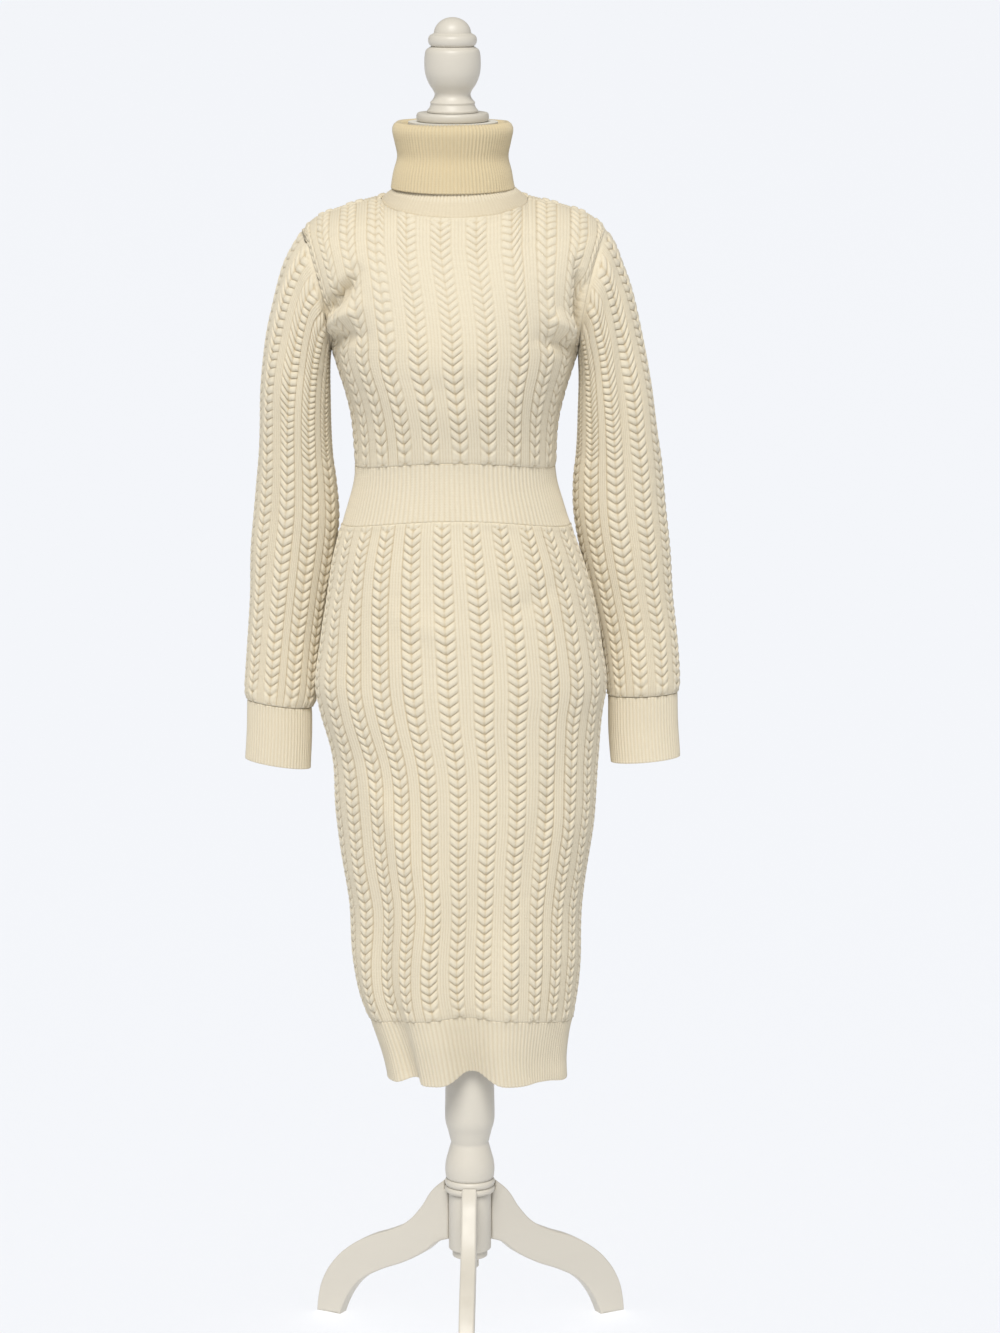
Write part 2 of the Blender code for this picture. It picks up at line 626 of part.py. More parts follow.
def make_ring_collar(material):
    upper = (COLLAR_TOP - COLLAR_GROOVE) / 2
    lower = (COLLAR_GROOVE - COLLAR_BOTTOM) / 2
    middle = COLLAR_RADIUS - COLLAR_ROUND
    profile = arc(middle, COLLAR_GROOVE + upper, COLLAR_ROUND, upper, 90, -80, 6)
    profile += arc(middle, COLLAR_BOTTOM + lower, COLLAR_ROUND, lower, 80, -90, 6)
    return turned("ring_collar", profile, material)


def make_rod(name, radius, top, bottom, material):
    profile = [
        Turn(radius - ROD_EDGE, top),
        Turn(radius, top - ROD_EDGE),
        Turn(radius, bottom + ROD_EDGE),
        Turn(radius - ROD_EDGE, bottom),
    ]
    return turned(name, profile, material)


def make_leg(name, angle, material):
    """A flat board cut to the leg's curve, with its edges rounded over."""
    curve = bpy.data.curves.new(name, "CURVE")
    curve.dimensions = "2D"
    curve.fill_mode = "BOTH"
    curve.extrude = LEG_THICK / 2 - LEG_ROUND
    curve.bevel_depth = LEG_ROUND
    curve.bevel_resolution = 1
    curve.offset = -LEG_ROUND
    spline = curve.splines.new("BEZIER")
    spline.bezier_points.add(len(LEG) - 1)
    spline.use_cyclic_u = True
    spline.resolution_u = 3
    for knot, point in zip(spline.bezier_points, LEG):
        knot.co = (point.reach, point.z, 0)
        kind = "VECTOR" if point.corner else "AUTO"
        knot.handle_left_type = kind
        knot.handle_right_type = kind
    item = add_object(name, curve, material)
    item.rotation_euler = (pi / 2, 0, angle)
    return item


# ---- build ------------------------------------------------------------------------------------------
clear_scene()
collection = bpy.data.collections.new("sweater_dress")
bpy.context.scene.collection.children.link(collection)
frame = bpy.data.objects.new("pole_axis", None)
frame.location = (POLE_X, POLE_Y, 0)
collection.objects.link(frame)
knit, rib, cover, wood = [make_material(name) for name in COLOURS]

make_bodice("bodice_front", True, knit)
make_bodice("bodice_back", False, knit)
make_band("waist_band",
          lambda angle: seam_height(WAIST_BOTTOM, angle),
          lambda angle: seam_height(WAIST_TOP, angle) - SEAM,
          AROUND_WAIST, rib)
make_skirt("skirt_front", -pi, knit)
make_skirt("skirt_back", 0, knit)
make_band("hem_band", hem_height, lambda angle: seam_height(HEM_TOP, angle), AROUND_HEM, rib)

make_sleeve("sleeve_left", LEFT_SLEEVE, -1, knit)
make_sleeve("sleeve_right", RIGHT_SLEEVE, 1, knit)
make_cuff("cuff_left", LEFT_CUFF, -1, rib)
make_cuff("cuff_right", RIGHT_CUFF, 1, rib)

grid_object("neck_band", [band_ring(BAND_BOTTOM), band_ring(BAND_TOP)], rib, closed=True)
grid_object("turtleneck", [neck_ring(row) for row in COLLAR], rib, closed=True, offset=0.0)

make_torso(cover)
make_finial(wood)
make_plate(wood)
make_post(wood)
make_ring_collar(wood)
make_rod("hub", HUB_RADIUS, COLLAR_BOTTOM - SEAM, HUB_BOTTOM, wood)
make_rod("hub_nut", NUT_RADIUS, HUB_BOTTOM - SEAM, NUT_BOTTOM, wood)
make_rod("hub_bolt", BOLT_RADIUS, NUT_BOTTOM - SEAM, BOLT_BOTTOM, wood)
for leg_name, leg_angle in LEG_ANGLES.items():
    make_leg(leg_name, leg_angle, wood)
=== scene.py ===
from math import cos, pi, radians, sin

import bmesh
import bpy
import numpy as np
from mathutils import Matrix, Vector


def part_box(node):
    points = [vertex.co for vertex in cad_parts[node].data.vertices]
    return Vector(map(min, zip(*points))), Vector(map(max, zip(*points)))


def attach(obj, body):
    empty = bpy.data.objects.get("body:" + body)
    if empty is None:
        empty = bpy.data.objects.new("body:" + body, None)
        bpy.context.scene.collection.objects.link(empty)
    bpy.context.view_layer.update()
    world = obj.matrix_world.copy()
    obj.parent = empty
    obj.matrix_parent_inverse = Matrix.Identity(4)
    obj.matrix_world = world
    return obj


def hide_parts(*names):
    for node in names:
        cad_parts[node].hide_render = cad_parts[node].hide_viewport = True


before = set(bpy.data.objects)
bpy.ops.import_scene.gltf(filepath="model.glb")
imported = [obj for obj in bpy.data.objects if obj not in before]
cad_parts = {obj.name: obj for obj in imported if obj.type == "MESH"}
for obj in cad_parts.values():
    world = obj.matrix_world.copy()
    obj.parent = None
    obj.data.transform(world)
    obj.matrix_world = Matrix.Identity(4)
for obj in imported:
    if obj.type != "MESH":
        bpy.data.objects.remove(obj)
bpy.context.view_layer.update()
postLow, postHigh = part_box("post")
pole = np.array([(postLow[0] + postHigh[0]) / 2, (postLow[1] + postHigh[1]) / 2, 0.0])
print("frame loaded, pole at", pole.round(4))

# The tables are measured from the pole's axis, in metres. The front faces -Y, left is -X.
bodyX = -0.016     # the torso leans this far to the left of the pole
neckX = -0.018
wall = 0.0028      # the knit's thickness under its relief

# z, middle, half width, front depth, back depth
skirtTable = [
    (0.300, 0.0098, 0.1040, 0.0640, 0.0700),
    (0.325, 0.0088, 0.1058, 0.0680, 0.0740),
    (0.350, 0.0060, 0.1082, 0.0720, 0.0780),
    (0.375, 0.0036, 0.1132, 0.0770, 0.0830),
    (0.394, 0.0021, 0.1183, 0.0800, 0.0860),
    (0.425, -0.0012, 0.1262, 0.0850, 0.0900),
    (0.466, -0.0036, 0.1321, 0.0880, 0.0930),
    (0.539, -0.0047, 0.1353, 0.0910, 0.0980),
    (0.597, -0.0056, 0.1444, 0.0950, 0.1030),
    (0.640, -0.0046, 0.1495, 0.0980, 0.1080),
    (0.712, -0.0050, 0.1538, 0.1020, 0.1160),
    (0.769, -0.0095, 0.1630, 0.1060, 0.1220),
    (0.795, -0.0095, 0.1672, 0.1080, 0.1240),
    (0.847, -0.0095, 0.1622, 0.1090, 0.1230),
    (0.894, -0.0105, 0.1544, 0.1080, 0.1150),
    (0.941, -0.0124, 0.1438, 0.1060, 0.1040),
    (0.981, -0.0145, 0.1320, 0.1020, 0.0940),
    (1.009, -0.0150, 0.1233, 0.0985, 0.0890),
    (1.037, -0.0158, 0.1162, 0.0960, 0.0865),
    (1.052, -0.0160, 0.1148, 0.0960, 0.0865),
    (1.075, -0.0160, 0.1146, 0.0985, 0.0880),
]
# seam heights at the side, the middle of the front and the middle of the back
seams = {
    "waistTop": (1.0515, 1.0670, 1.0560),
    "waistBottom": (0.9840, 1.0020, 0.9880),
    "hemTop": (0.3950, 0.4110, 0.4040),
    "hemEdge": (0.3230, 0.3270, 0.3250),
}
# folds that run up from the hem: around from +X, depth, width, drift on the way up, top
hemFolds = [
    (-93, 0.0310, 13, 0, 0.66),
    (-140, 0.0150, 9, 6, 0.72),
    (-38, 0.0060, 16, -8, 0.62),
    (72, 0.0220, 16, 4, 0.62),
    (124, 0.0130, 14, -6, 0.72),
    (20, 0.0070, 12, 5, 0.58),
]
# armhole angle or None, edge z, half width, wrap, front z, front depth, back z, back depth
bodiceTable = [
    (None, 1.0518, 0.1147, 90, 1.0673, 0.0970, 1.0563, 0.0870),
    (None, 1.0850, 0.1160, 90, 1.0980, 0.1060, 1.0900, 0.0900),
    (None, 1.1120, 0.1190, 90, 1.1220, 0.1140, 1.1170, 0.0940),
    (None, 1.1400, 0.1256, 90, 1.1470, 0.1210, 1.1430, 0.0980),
    (None, 1.1650, 0.1340, 90, 1.1720, 0.1245, 1.1680, 0.1010),
    (180, 0, 0, 88, 1.1960, 0.1240, 1.1920, 0.1025),
    (150, 0, 0, 76, 1.2180, 0.1205, 1.2150, 0.1030),
    (120, 0, 0, 68, 1.2400, 0.1150, 1.2400, 0.1025),
    (90, 0, 0, 64, 1.2630, 0.1080, 1.2650, 0.1010),
    (60, 0, 0, 66, 1.2840, 0.1005, 1.2900, 0.0980),
    (30, 0, 0, 74, 1.3020, 0.0935, 1.3120, 0.0920),
    (0, 0, 0, 84, 1.3140, 0.0890, 1.3280, 0.0850),
    (None, 1.3404, 0.1514, 90, 1.3240, 0.0850, 1.3430, 0.0770),
    (None, 1.3535, 0.1130, 90, 1.3350, 0.0805, 1.3570, 0.0670),
    (None, 1.3583, 0.0837, 90, 1.3440, 0.0760, 1.3670, 0.0580),
]
sideGap = 0.0002   # the bodice's panels stop this short of the line between them
bustRow = 5        # the row that meets the underarm
tipRow = 11        # the row that meets the shoulder's tip
neckRow = 14
# the neck, from its seam up, over the fold and down: radius, side z, front z, back z
collarTable = [
    (0.0620, 1.3713, 1.3684, 1.3774),
    (0.0590, 1.3800, 1.3770, 1.3840),
    (0.0562, 1.4060, 1.4060, 1.4060),
    (0.0562, 1.4330, 1.4330, 1.4330),
    (0.0580, 1.4410, 1.4410, 1.4410),
    (0.0618, 1.4440, 1.4440, 1.4440),
    (0.0658, 1.4410, 1.4410, 1.4410),
    (0.0668, 1.4350, 1.4350, 1.4350),
    (0.0640, 1.4220, 1.4220, 1.4220),
    (0.0612, 1.4060, 1.4060, 1.4060),
    (0.0655, 1.3880, 1.3880, 1.3880),
    (0.0686, 1.3700, 1.3690, 1.3720),
]
# the neck band's two edges: side z, half width, front z, front depth, back z, back depth
bandTable = [
    (1.3580, 0.0838, 1.3438, 0.0759, 1.3668, 0.0579),
    (1.3722, 0.0652, 1.3700, 0.0640, 1.3760, 0.0600),
]
# sleeves: outer x and z, inner x and z, middle y, front and back depth
leftSleeveTable = [
    (0.1990, 1.3065, 0.1592, 1.1770, 0.000, 0.0530, 0.0565),
    (0.2100, 1.2850, 0.1597, 1.1640, 0.001, 0.0525, 0.0555),
    (0.2180, 1.2600, 0.1600, 1.1500, 0.002, 0.0515, 0.0535),
    (0.2245, 1.2300, 0.1602, 1.1350, 0.003, 0.0500, 0.0515),
    (0.2318, 1.1900, 0.1604, 1.1150, 0.004, 0.0475, 0.0490),
    (0.2370, 1.1450, 0.1600, 1.0920, 0.006, 0.0450, 0.0460),
    (0.2398, 1.0950, 0.1583, 1.0620, 0.009, 0.0420, 0.0430),
    (0.2420, 1.0500, 0.1545, 1.0320, 0.012, 0.0395, 0.0400),
    (0.2465, 1.0000, 0.1520, 0.9900, 0.016, 0.0365, 0.0370),
    (0.2510, 0.9500, 0.1565, 0.9430, 0.021, 0.0335, 0.0335),
    (0.2535, 0.9000, 0.1645, 0.8930, 0.026, 0.0310, 0.0310),
    (0.2565, 0.8500, 0.1720, 0.8420, 0.030, 0.0290, 0.0290),
    (0.2610, 0.7900, 0.1785, 0.7810, 0.032, 0.0275, 0.0275),
    (0.2596, 0.7710, 0.1843, 0.7612, 0.032, 0.0250, 0.0250),
]
rightSleeveTable = [
    (0.1665, 1.3065, 0.1264, 1.1770, 0.000, 0.0530, 0.0565),
    (0.1748, 1.2850, 0.1268, 1.1640, 0.001, 0.0525, 0.0555),
    (0.1838, 1.2600, 0.1269, 1.1500, 0.002, 0.0515, 0.0535),
    (0.1915, 1.2300, 0.1268, 1.1350, 0.003, 0.0500, 0.0515),
    (0.1998, 1.1900, 0.1266, 1.1150, 0.004, 0.0475, 0.0490),
    (0.2075, 1.1450, 0.1264, 1.0920, 0.006, 0.0450, 0.0460),
    (0.2143, 1.0950, 0.1250, 1.0660, 0.009, 0.0425, 0.0430),
    (0.2215, 1.0500, 0.1218, 1.0350, 0.012, 0.0400, 0.0400),
    (0.2265, 1.0000, 0.1225, 0.9920, 0.016, 0.0370, 0.0370),
    (0.2318, 0.9500, 0.1305, 0.9440, 0.021, 0.0340, 0.0340),
    (0.2355, 0.9000, 0.1425, 0.8940, 0.027, 0.0315, 0.0315),
    (0.2412, 0.8500, 0.1535, 0.8430, 0.032, 0.0295, 0.0295),
    (0.2442, 0.7950, 0.1600, 0.7900, 0.034, 0.0280, 0.0280),
    (0.2430, 0.7790, 0.1618, 0.7755, 0.034, 0.0255, 0.0255),
]
leftCuffTable = [
    (0.2592, 0.7703, 0.1847, 0.7605, 0.032, 0.0245, 0.0245),
    (0.2602, 0.7350, 0.1850, 0.7245, 0.032, 0.0235, 0.0235),
    (0.2625, 0.6998, 0.1865, 0.6880, 0.033, 0.0240, 0.0240),
]
rightCuffTable = [
    (0.2427, 0.7783, 0.1622, 0.7748, 0.034, 0.0250, 0.0250),
    (0.2438, 0.7400, 0.1632, 0.7350, 0.034, 0.0240, 0.0240),
    (0.2464, 0.7025, 0.1659, 0.6955, 0.033, 0.0245, 0.0245),
]


def addObject(name, data):
    item = bpy.data.objects.new(name, data)
    bpy.context.scene.collection.objects.link(item)
    return item


# an object from a bmesh, which is freed
def addMesh(name, mesh, material):
    data = bpy.data.meshes.new(name)
    mesh.to_mesh(data)
    mesh.free()
    data.materials.append(material)
    return addObject(name, data)


cameraPlace = {
    "distance": 5.35,      # in front of the pole
    "height": 1.865,
    "right": 0.0357,
    "lens": 126.9,
    "sensor": 36,
    "down": 11.1,          # degrees below level
}


def makeCamera():
    camera = addObject("camera", bpy.data.cameras.new("camera"))
    camera.data.lens = cameraPlace["lens"]
    camera.data.sensor_width = cameraPlace["sensor"]
    camera.location = (pole[0] + cameraPlace["right"], pole[1] - cameraPlace["distance"],
                       cameraPlace["height"])
    camera.rotation_euler = (radians(90 - cameraPlace["down"]), 0, 0)
    bpy.context.scene.camera = camera
    print("camera placed")


makeCamera()


def newMaterial(name, colour, roughness):
    material = bpy.data.materials.new(name)
    material.use_nodes = True
    shader = material.node_tree.nodes["Principled BSDF"]
    shader.inputs["Base Color"].default_value = (*colour, 1)
    shader.inputs["Roughness"].default_value = roughness
    return material, material.node_tree, shader


# add a node, set its properties and sockets, and link what feeds it
def addNode(tree, kind, links=(), **settings):
    node = tree.nodes.new(kind)
    for key, value in settings.items():
        if hasattr(node, key):
            setattr(node, key, value)
        else:
            node.inputs[key.replace("_", " ")].default_value = value
    for source, target in links:
        tree.links.new(source, node.inputs[target])
    return node


def addNoise(tree, source, scale, detail):
    noise = addNode(tree, "ShaderNodeTexNoise", [(source, "Vector")], Scale=scale, Detail=detail)
    return noise.outputs[0]


def addBump(tree, height, strength, distance, under=None):
    links = [(height, "Height")] + ([(under, "Normal")] if under else [])
    return addNode(tree, "ShaderNodeBump", links, Strength=strength, Distance=distance).outputs[0]


def doMath(tree, operation, *values):
    node = tree.nodes.new("ShaderNodeMath")
    node.operation = operation
    for i, value in enumerate(values):
        if isinstance(value, (int, float)):
            node.inputs[i].default_value = value
        else:
            tree.links.new(value, node.inputs[i])
    return node.outputs[0]


def mixColour(tree, share, first, second, blend="MIX"):
    node = tree.nodes.new("ShaderNodeMix")
    node.data_type = "RGBA"
    node.blend_type = blend
    for i, value in ((0, share), (6, first), (7, second)):
        if hasattr(value, "is_output"):
            tree.links.new(value, node.inputs[i])
        else:
            node.inputs[i].default_value = value if i == 0 else (*value, 1)
    return node.outputs[2]


yarn = {
    "light": (0.80, 0.730, 0.580),
    # a deeper colour for the yarn's fine flecks, and also for the painted shade in the creases
    "fleckAndShadeColour": (0.50, 0.375, 0.20),
    "neck": (0.90, 0.84, 0.70),      # the folded neck's copy of the yarn is painted this much darker, as painted shade
    "roughness": 0.92,
    "shine": 0.18,
    "sheen": 0.28,
    "sheenTint": (1.0, 0.97, 0.90),
    "clouds": (9.0, 2.0, 0.22),      # scale, detail and share of slow changes in tone
    "cloudTint": (0.95, 0.91, 0.80),
    "flecks": (420.0, 3.0, 0.16),
    "creaseShade": (1.7, 0.62),             # how sharply and how much the painted shade in the creases deepens
    "legSlope": 0.9,                 # how far the stitches' legs rise
    "stitch": (0.55, 0.00035),       # strength and depth of the bumps
    "fuzz": (0.6, 0.00022),
    "fuzzScale": (900.0, 4.0),
}


# knitted yarn: u counts wales and v counts courses
def makeYarn(name, tint=(1, 1, 1)):
    light = tuple(part * share for part, share in zip(yarn["light"], tint))
    material, tree, shader = newMaterial(name, light, yarn["roughness"])
    shader.inputs["Sheen Weight"].default_value = yarn["sheen"]
    shader.inputs["Sheen Roughness"].default_value = 0.5
    shader.inputs["Sheen Tint"].default_value = (*yarn["sheenTint"], 1)
    shader.inputs["Specular IOR Level"].default_value = yarn["shine"]
    place = addNode(tree, "ShaderNodeTexCoord").outputs["Object"]
    stitches = addNode(tree, "ShaderNodeUVMap", uv_map="stitches")
    split = addNode(tree, "ShaderNodeSeparateXYZ", [(stitches.outputs[0], 0)])
    # the painted shade that each point carries, from 0 in the creases to 1
    paintedShade = addNode(tree, "ShaderNodeAttribute", attribute_name="paintedShade")
    # the yarn's colour: slow changes in tone and fine flecks, then painted shade that darkens the
    # creases between the stitches
    scale, detail, share = yarn["clouds"]
    cloud = doMath(tree, "MULTIPLY", addNoise(tree, place, scale, detail), share)
    warm = mixColour(tree, cloud, light, [part * by for part, by in zip(light, yarn["cloudTint"])])
    scale, detail, share = yarn["flecks"]
    fleck = doMath(tree, "MULTIPLY", addNoise(tree, place, scale, detail), share)
    flecked = mixColour(tree, fleck, warm, yarn["fleckAndShadeColour"])
    # painted shade: the lower a point's shade value, the more of the deeper colour
    sharpness, share = yarn["creaseShade"]
    creaseDark = doMath(tree, "POWER", doMath(tree, "SUBTRACT", 1.0, paintedShade.outputs["Fac"]), sharpness)
    colour = mixColour(tree, doMath(tree, "MULTIPLY", creaseDark, share), flecked, yarn["fleckAndShadeColour"])
    tree.links.new(colour, shader.inputs["Base Color"])
    # the small stitches, as V shapes along each wale
    wale = doMath(tree, "FRACT", split.outputs[0])
    side = doMath(tree, "ABSOLUTE", doMath(tree, "SUBTRACT", wale, 0.5))
    slope = doMath(tree, "MULTIPLY", side, yarn["legSlope"])
    leg = doMath(tree, "FRACT", doMath(tree, "SUBTRACT", split.outputs[1], slope))
    plump = doMath(tree, "SINE", doMath(tree, "MULTIPLY", leg, pi))
    ridge = doMath(tree, "SINE", doMath(tree, "MULTIPLY", side, 2 * pi))
    stitch = doMath(tree, "MULTIPLY", plump, doMath(tree, "POWER", ridge, 0.5))
    small = addBump(tree, stitch, *yarn["stitch"])
    fuzz = addBump(tree, addNoise(tree, place, *yarn["fuzzScale"]), *yarn["fuzz"], small)
    tree.links.new(fuzz, shader.inputs["Normal"])
    return material


paint = {
    "colour": (0.66, 0.62, 0.54),
    "streak": (0.59, 0.545, 0.465),
    "worn": (0.50, 0.455, 0.37),
    "roughness": 0.42,
    "coat": (0.12, 0.35),            # its weight and roughness
    "marks": (60.0, 5.0, 0.20),      # scale, detail and share of the brush marks
    "patches": (18.0, 6.0, 0.35),
    "patchRange": (0.60, 0.74),
    "gloss": (0.34, 0.56),           # roughness along and between the marks
    "brush": (0.35, 0.00012),
}


# satin paint with faint brush marks and a little wear; stretch runs along the grain
def makePaint(name, stretch, turn=0):
    material, tree, shader = newMaterial(name, paint["colour"], paint["roughness"])
    for socket, value in zip(("Coat Weight", "Coat Roughness"), paint["coat"]):
        shader.inputs[socket].default_value = value
    place = addNode(tree, "ShaderNodeTexCoord").outputs["Object"]
    turned = addNode(tree, "ShaderNodeMapping", [(place, "Vector")], Rotation=(0, 0, radians(-turn)))
    along = addNode(tree, "ShaderNodeMapping", [(turned.outputs[0], "Vector")], Scale=stretch)
    scale, detail, share = paint["marks"]
    marks = addNoise(tree, along.outputs[0], scale, detail)
    shade = mixColour(tree, doMath(tree, "MULTIPLY", marks, share), paint["colour"], paint["streak"])
    scale, detail, share = paint["patches"]
    low, high = paint["patchRange"]
    scuff = addNode(tree, "ShaderNodeMapRange", [(addNoise(tree, place, scale, detail), "Value")],
                    From_Min=low, From_Max=high)
    worn = mixColour(tree, doMath(tree, "MULTIPLY", scuff.outputs[0], share), shade, paint["worn"])
    tree.links.new(worn, shader.inputs["Base Color"])
    low, high = paint["gloss"]
    gloss = addNode(tree, "ShaderNodeMapRange", [(marks, "Value")], To_Min=low, To_Max=high)
    tree.links.new(gloss.outputs[0], shader.inputs["Roughness"])
    tree.links.new(addBump(tree, marks, *paint["brush"]), shader.inputs["Normal"])
    return material


cover = {
    "colour": (0.78, 0.75, 0.68),
    "threads": ((0.72, 0.69, 0.61), (0.82, 0.79, 0.72)),     # between them and on them
    "roughness": 0.9,
    "sheen": 0.1,
    "threadScale": 320.0,
    "weave": (0.4, 0.0002),
}


# plain woven cover of the form's torso
def makeCover():
    material, tree, shader = newMaterial("torsoCover", cover["colour"], cover["roughness"])
    shader.inputs["Sheen Weight"].default_value = cover["sheen"]
    place = addNode(tree, "ShaderNodeTexCoord").outputs["Object"]
    threads = [
        addNode(tree, "ShaderNodeTexWave", [(place, "Vector")], bands_direction=way,
                Scale=cover["threadScale"], Distortion=1.2, Detail=1.0).outputs["Fac"]
        for way in ("X", "Z")
    ]
    weave = doMath(tree, "MULTIPLY", *threads)
    tree.links.new(mixColour(tree, weave, *cover["threads"]), shader.inputs["Base Color"])
    tree.links.new(addBump(tree, weave, *cover["weave"]), shader.inputs["Normal"])
    return material


# read a table at any place on a smooth curve through its rows
def readTable(keys, values, at, column=None):
    keys = np.asarray(keys, float)
    values = np.asarray(values, float)
    at = np.clip(at, keys[0], keys[-1])
    slopes = np.gradient(values, keys, axis=0)
    i = np.clip(np.searchsorted(keys, at, side="right") - 1, 0, len(keys) - 2)
    gap = keys[i + 1] - keys[i]
    t = (at - keys[i]) / gap
    if column is None:
        low, high, rise, fall = values[i], values[i + 1], slopes[i], slopes[i + 1]
    else:
        low, high, rise, fall = (part[step, column] for part, step in
                                 ((values, i), (values, i + 1), (slopes, i), (slopes, i + 1)))
    extra = (1,) * (low.ndim - t.ndim)
    t, gap = t.reshape(t.shape + extra), gap.reshape(gap.shape + extra)
    return (low * (2 * t**3 - 3 * t**2 + 1) + high * (3 * t**2 - 2 * t**3)
            + rise * gap * (t**3 - 2 * t**2 + t) + fall * gap * (t**3 - t**2))


def smoothStep(low, high, at):
    t = np.clip((np.asarray(at) - low) / (high - low), 0, 1)
    return t * t * (3 - 2 * t)


# how far the hem's folds draw the cloth in; angle is in degrees from +X
def foldPull(angle, z):
    edge = seams["hemEdge"][0]
    pull = np.zeros_like(z)
    for around, depth, width, drift, top in hemFolds:
        rise = np.clip((z - edge) / (top - edge), 0, 1)
        off = (angle - around - drift * rise + 180) % 360 - 180
        reach = np.abs(off / (width * (1 + 0.5 * rise)))
        pull = pull + depth * np.exp(-(reach ** (2.8 - 0.8 * rise))) * (1 - rise) ** 1.6
    return pull


# the dress's outside below the bust
def bodyPoints(angle, z):
    row = readTable([line[0] for line in skirtTable], [line[1:] for line in skirtTable], z)
    turn = np.radians(angle)
    depth = np.where(np.sin(turn) < 0, row[..., 2], row[..., 3])
    keep = 1 - foldPull(angle, z) / depth
    x = row[..., 0] + row[..., 1] * np.cos(turn) * (0.35 + 0.65 * keep)
    return np.stack([x, depth * np.sin(turn) * keep, z], axis=-1)


def seamHeight(seam, angle):
    side, front, back = seams[seam]
    middle = np.where(np.sin(np.radians(angle)) < 0, front, back)
    return side + (middle - side) * np.sin(np.radians(angle)) ** 2


armhole = {
    "half": (0.15675, 0.01475),      # half width at its middle height, and how much it grows to the tip
    "hollow": 0.006,                 # how far its front and back cut in
    "depths": (0.052, 0.056),        # front and back
    "height": (1.25725, 0.06725),    # its middle, and from there to the tip
}


# half width, depth and height of the armhole; turn is 0 at the tip, 90 at the front
def armholePoint(turn):
    turn = np.radians(turn)
    half, grows = armhole["half"]
    middle, reach = armhole["height"]
    half = half + grows * np.cos(turn) - armhole["hollow"] * np.sin(turn) ** 2
    depth = np.where(np.sin(turn) > 0, *armhole["depths"]) * np.sin(turn)
    return np.stack([half, depth, middle + reach * np.cos(turn)], axis=-1)


# edge half width, edge depth, edge height, wrap, middle height and middle depth
def bodiceRows(front):
    rows = []
    for angle, edgeZ, half, wrap, frontZ, frontDepth, backZ, backDepth in bodiceTable:
        edge = (half, 0.0, edgeZ)
        if angle is not None:
            edge = armholePoint(angle if front else -angle)
        middle = (frontZ, frontDepth) if front else (backZ, backDepth)
        rows.append((edge[0], abs(edge[1]) + sideGap, edge[2], radians(wrap), *middle))
    return np.array(rows)


# the bodice's outside at a table row, which may be a fraction, and across from -1 to 1
def bodicePoints(row, across, front):
    part = readTable(range(len(bodiceTable)), bodiceRows(front), row)
    half, edgeY, edgeZ, wrap, middleZ, middle = (part[..., i] for i in range(6))
    # along the armhole the edge is the very curve that the sleeve starts from
    armEdge = armholePoint((tipRow - row) * (30 if front else -30))
    besideArm = (row > bustRow) & (row < tipRow)
    half = np.where(besideArm, armEdge[..., 0], half)
    edgeY = np.where(besideArm, np.abs(armEdge[..., 1]) + sideGap, edgeY)
    edgeZ = np.where(besideArm, armEdge[..., 2], edgeZ)
    turn = across * wrap
    share = (np.cos(turn) - np.cos(wrap)) / (1 - np.cos(wrap))
    x = bodyX + half * np.sin(turn) / np.sin(wrap)
    y = (-1 if front else 1) * (edgeY + (middle - edgeY) * share)
    # the lower edge follows the waist band's
    low = 1 - smoothStep(0, 2.5, row)
    z = edgeZ + (middleZ - edgeZ) * (share * (1 - low) + share**2 * low)
    return np.stack([x, y, z], axis=-1)


# one ring for each row of a sleeve's table; turns are degrees from the outer end by way of the
# back, one list for each row
def ovalRings(table, side, turns):
    rings = []
    for line, turn in zip(table, turns):
        outerX, outerZ, innerX, innerZ, middleY, frontDepth, backDepth = line
        turn = np.radians(turn)
        depth = np.where(np.sin(turn) > 0, backDepth, frontDepth)
        rings.append(np.stack([
            side * ((outerX + innerX) / 2 + (outerX - innerX) / 2 * np.cos(turn)),
            middleY + depth * np.sin(turn),
            (outerZ + innerZ) / 2 + (outerZ - innerZ) / 2 * np.cos(turn),
        ], axis=-1))
    return rings


def lineLengths(lines):
    steps = np.linalg.norm(np.diff(lines, axis=0), axis=2)
    return np.concatenate([np.zeros((1, lines.shape[1])), np.cumsum(steps, axis=0)])


# points on each line at its own list of lengths
def readLines(lines, lengths, up):
    points = np.empty(up.shape + (3,))
    for j in range(up.shape[1]):
        for k in range(3):
            points[:, j, k] = np.interp(up[:, j], lengths[:, j], lines[:, j, k])
    return points


def outwardNormals(points, closed, middle):
    if closed:
        padded = np.concatenate([points[:, -2:-1], points, points[:, 1:2]], axis=1)
        across = np.gradient(padded, axis=1)[:, 1:-1]
    else:
        across = np.gradient(points, axis=1)
    normals = np.cross(across, np.gradient(points, axis=0))
    normals /= np.linalg.norm(normals, axis=2, keepdims=True) + 1e-12
    out = points - middle
    out[..., 2] = 0
    if (normals * out).sum() < 0:
        normals = -normals
    return normals


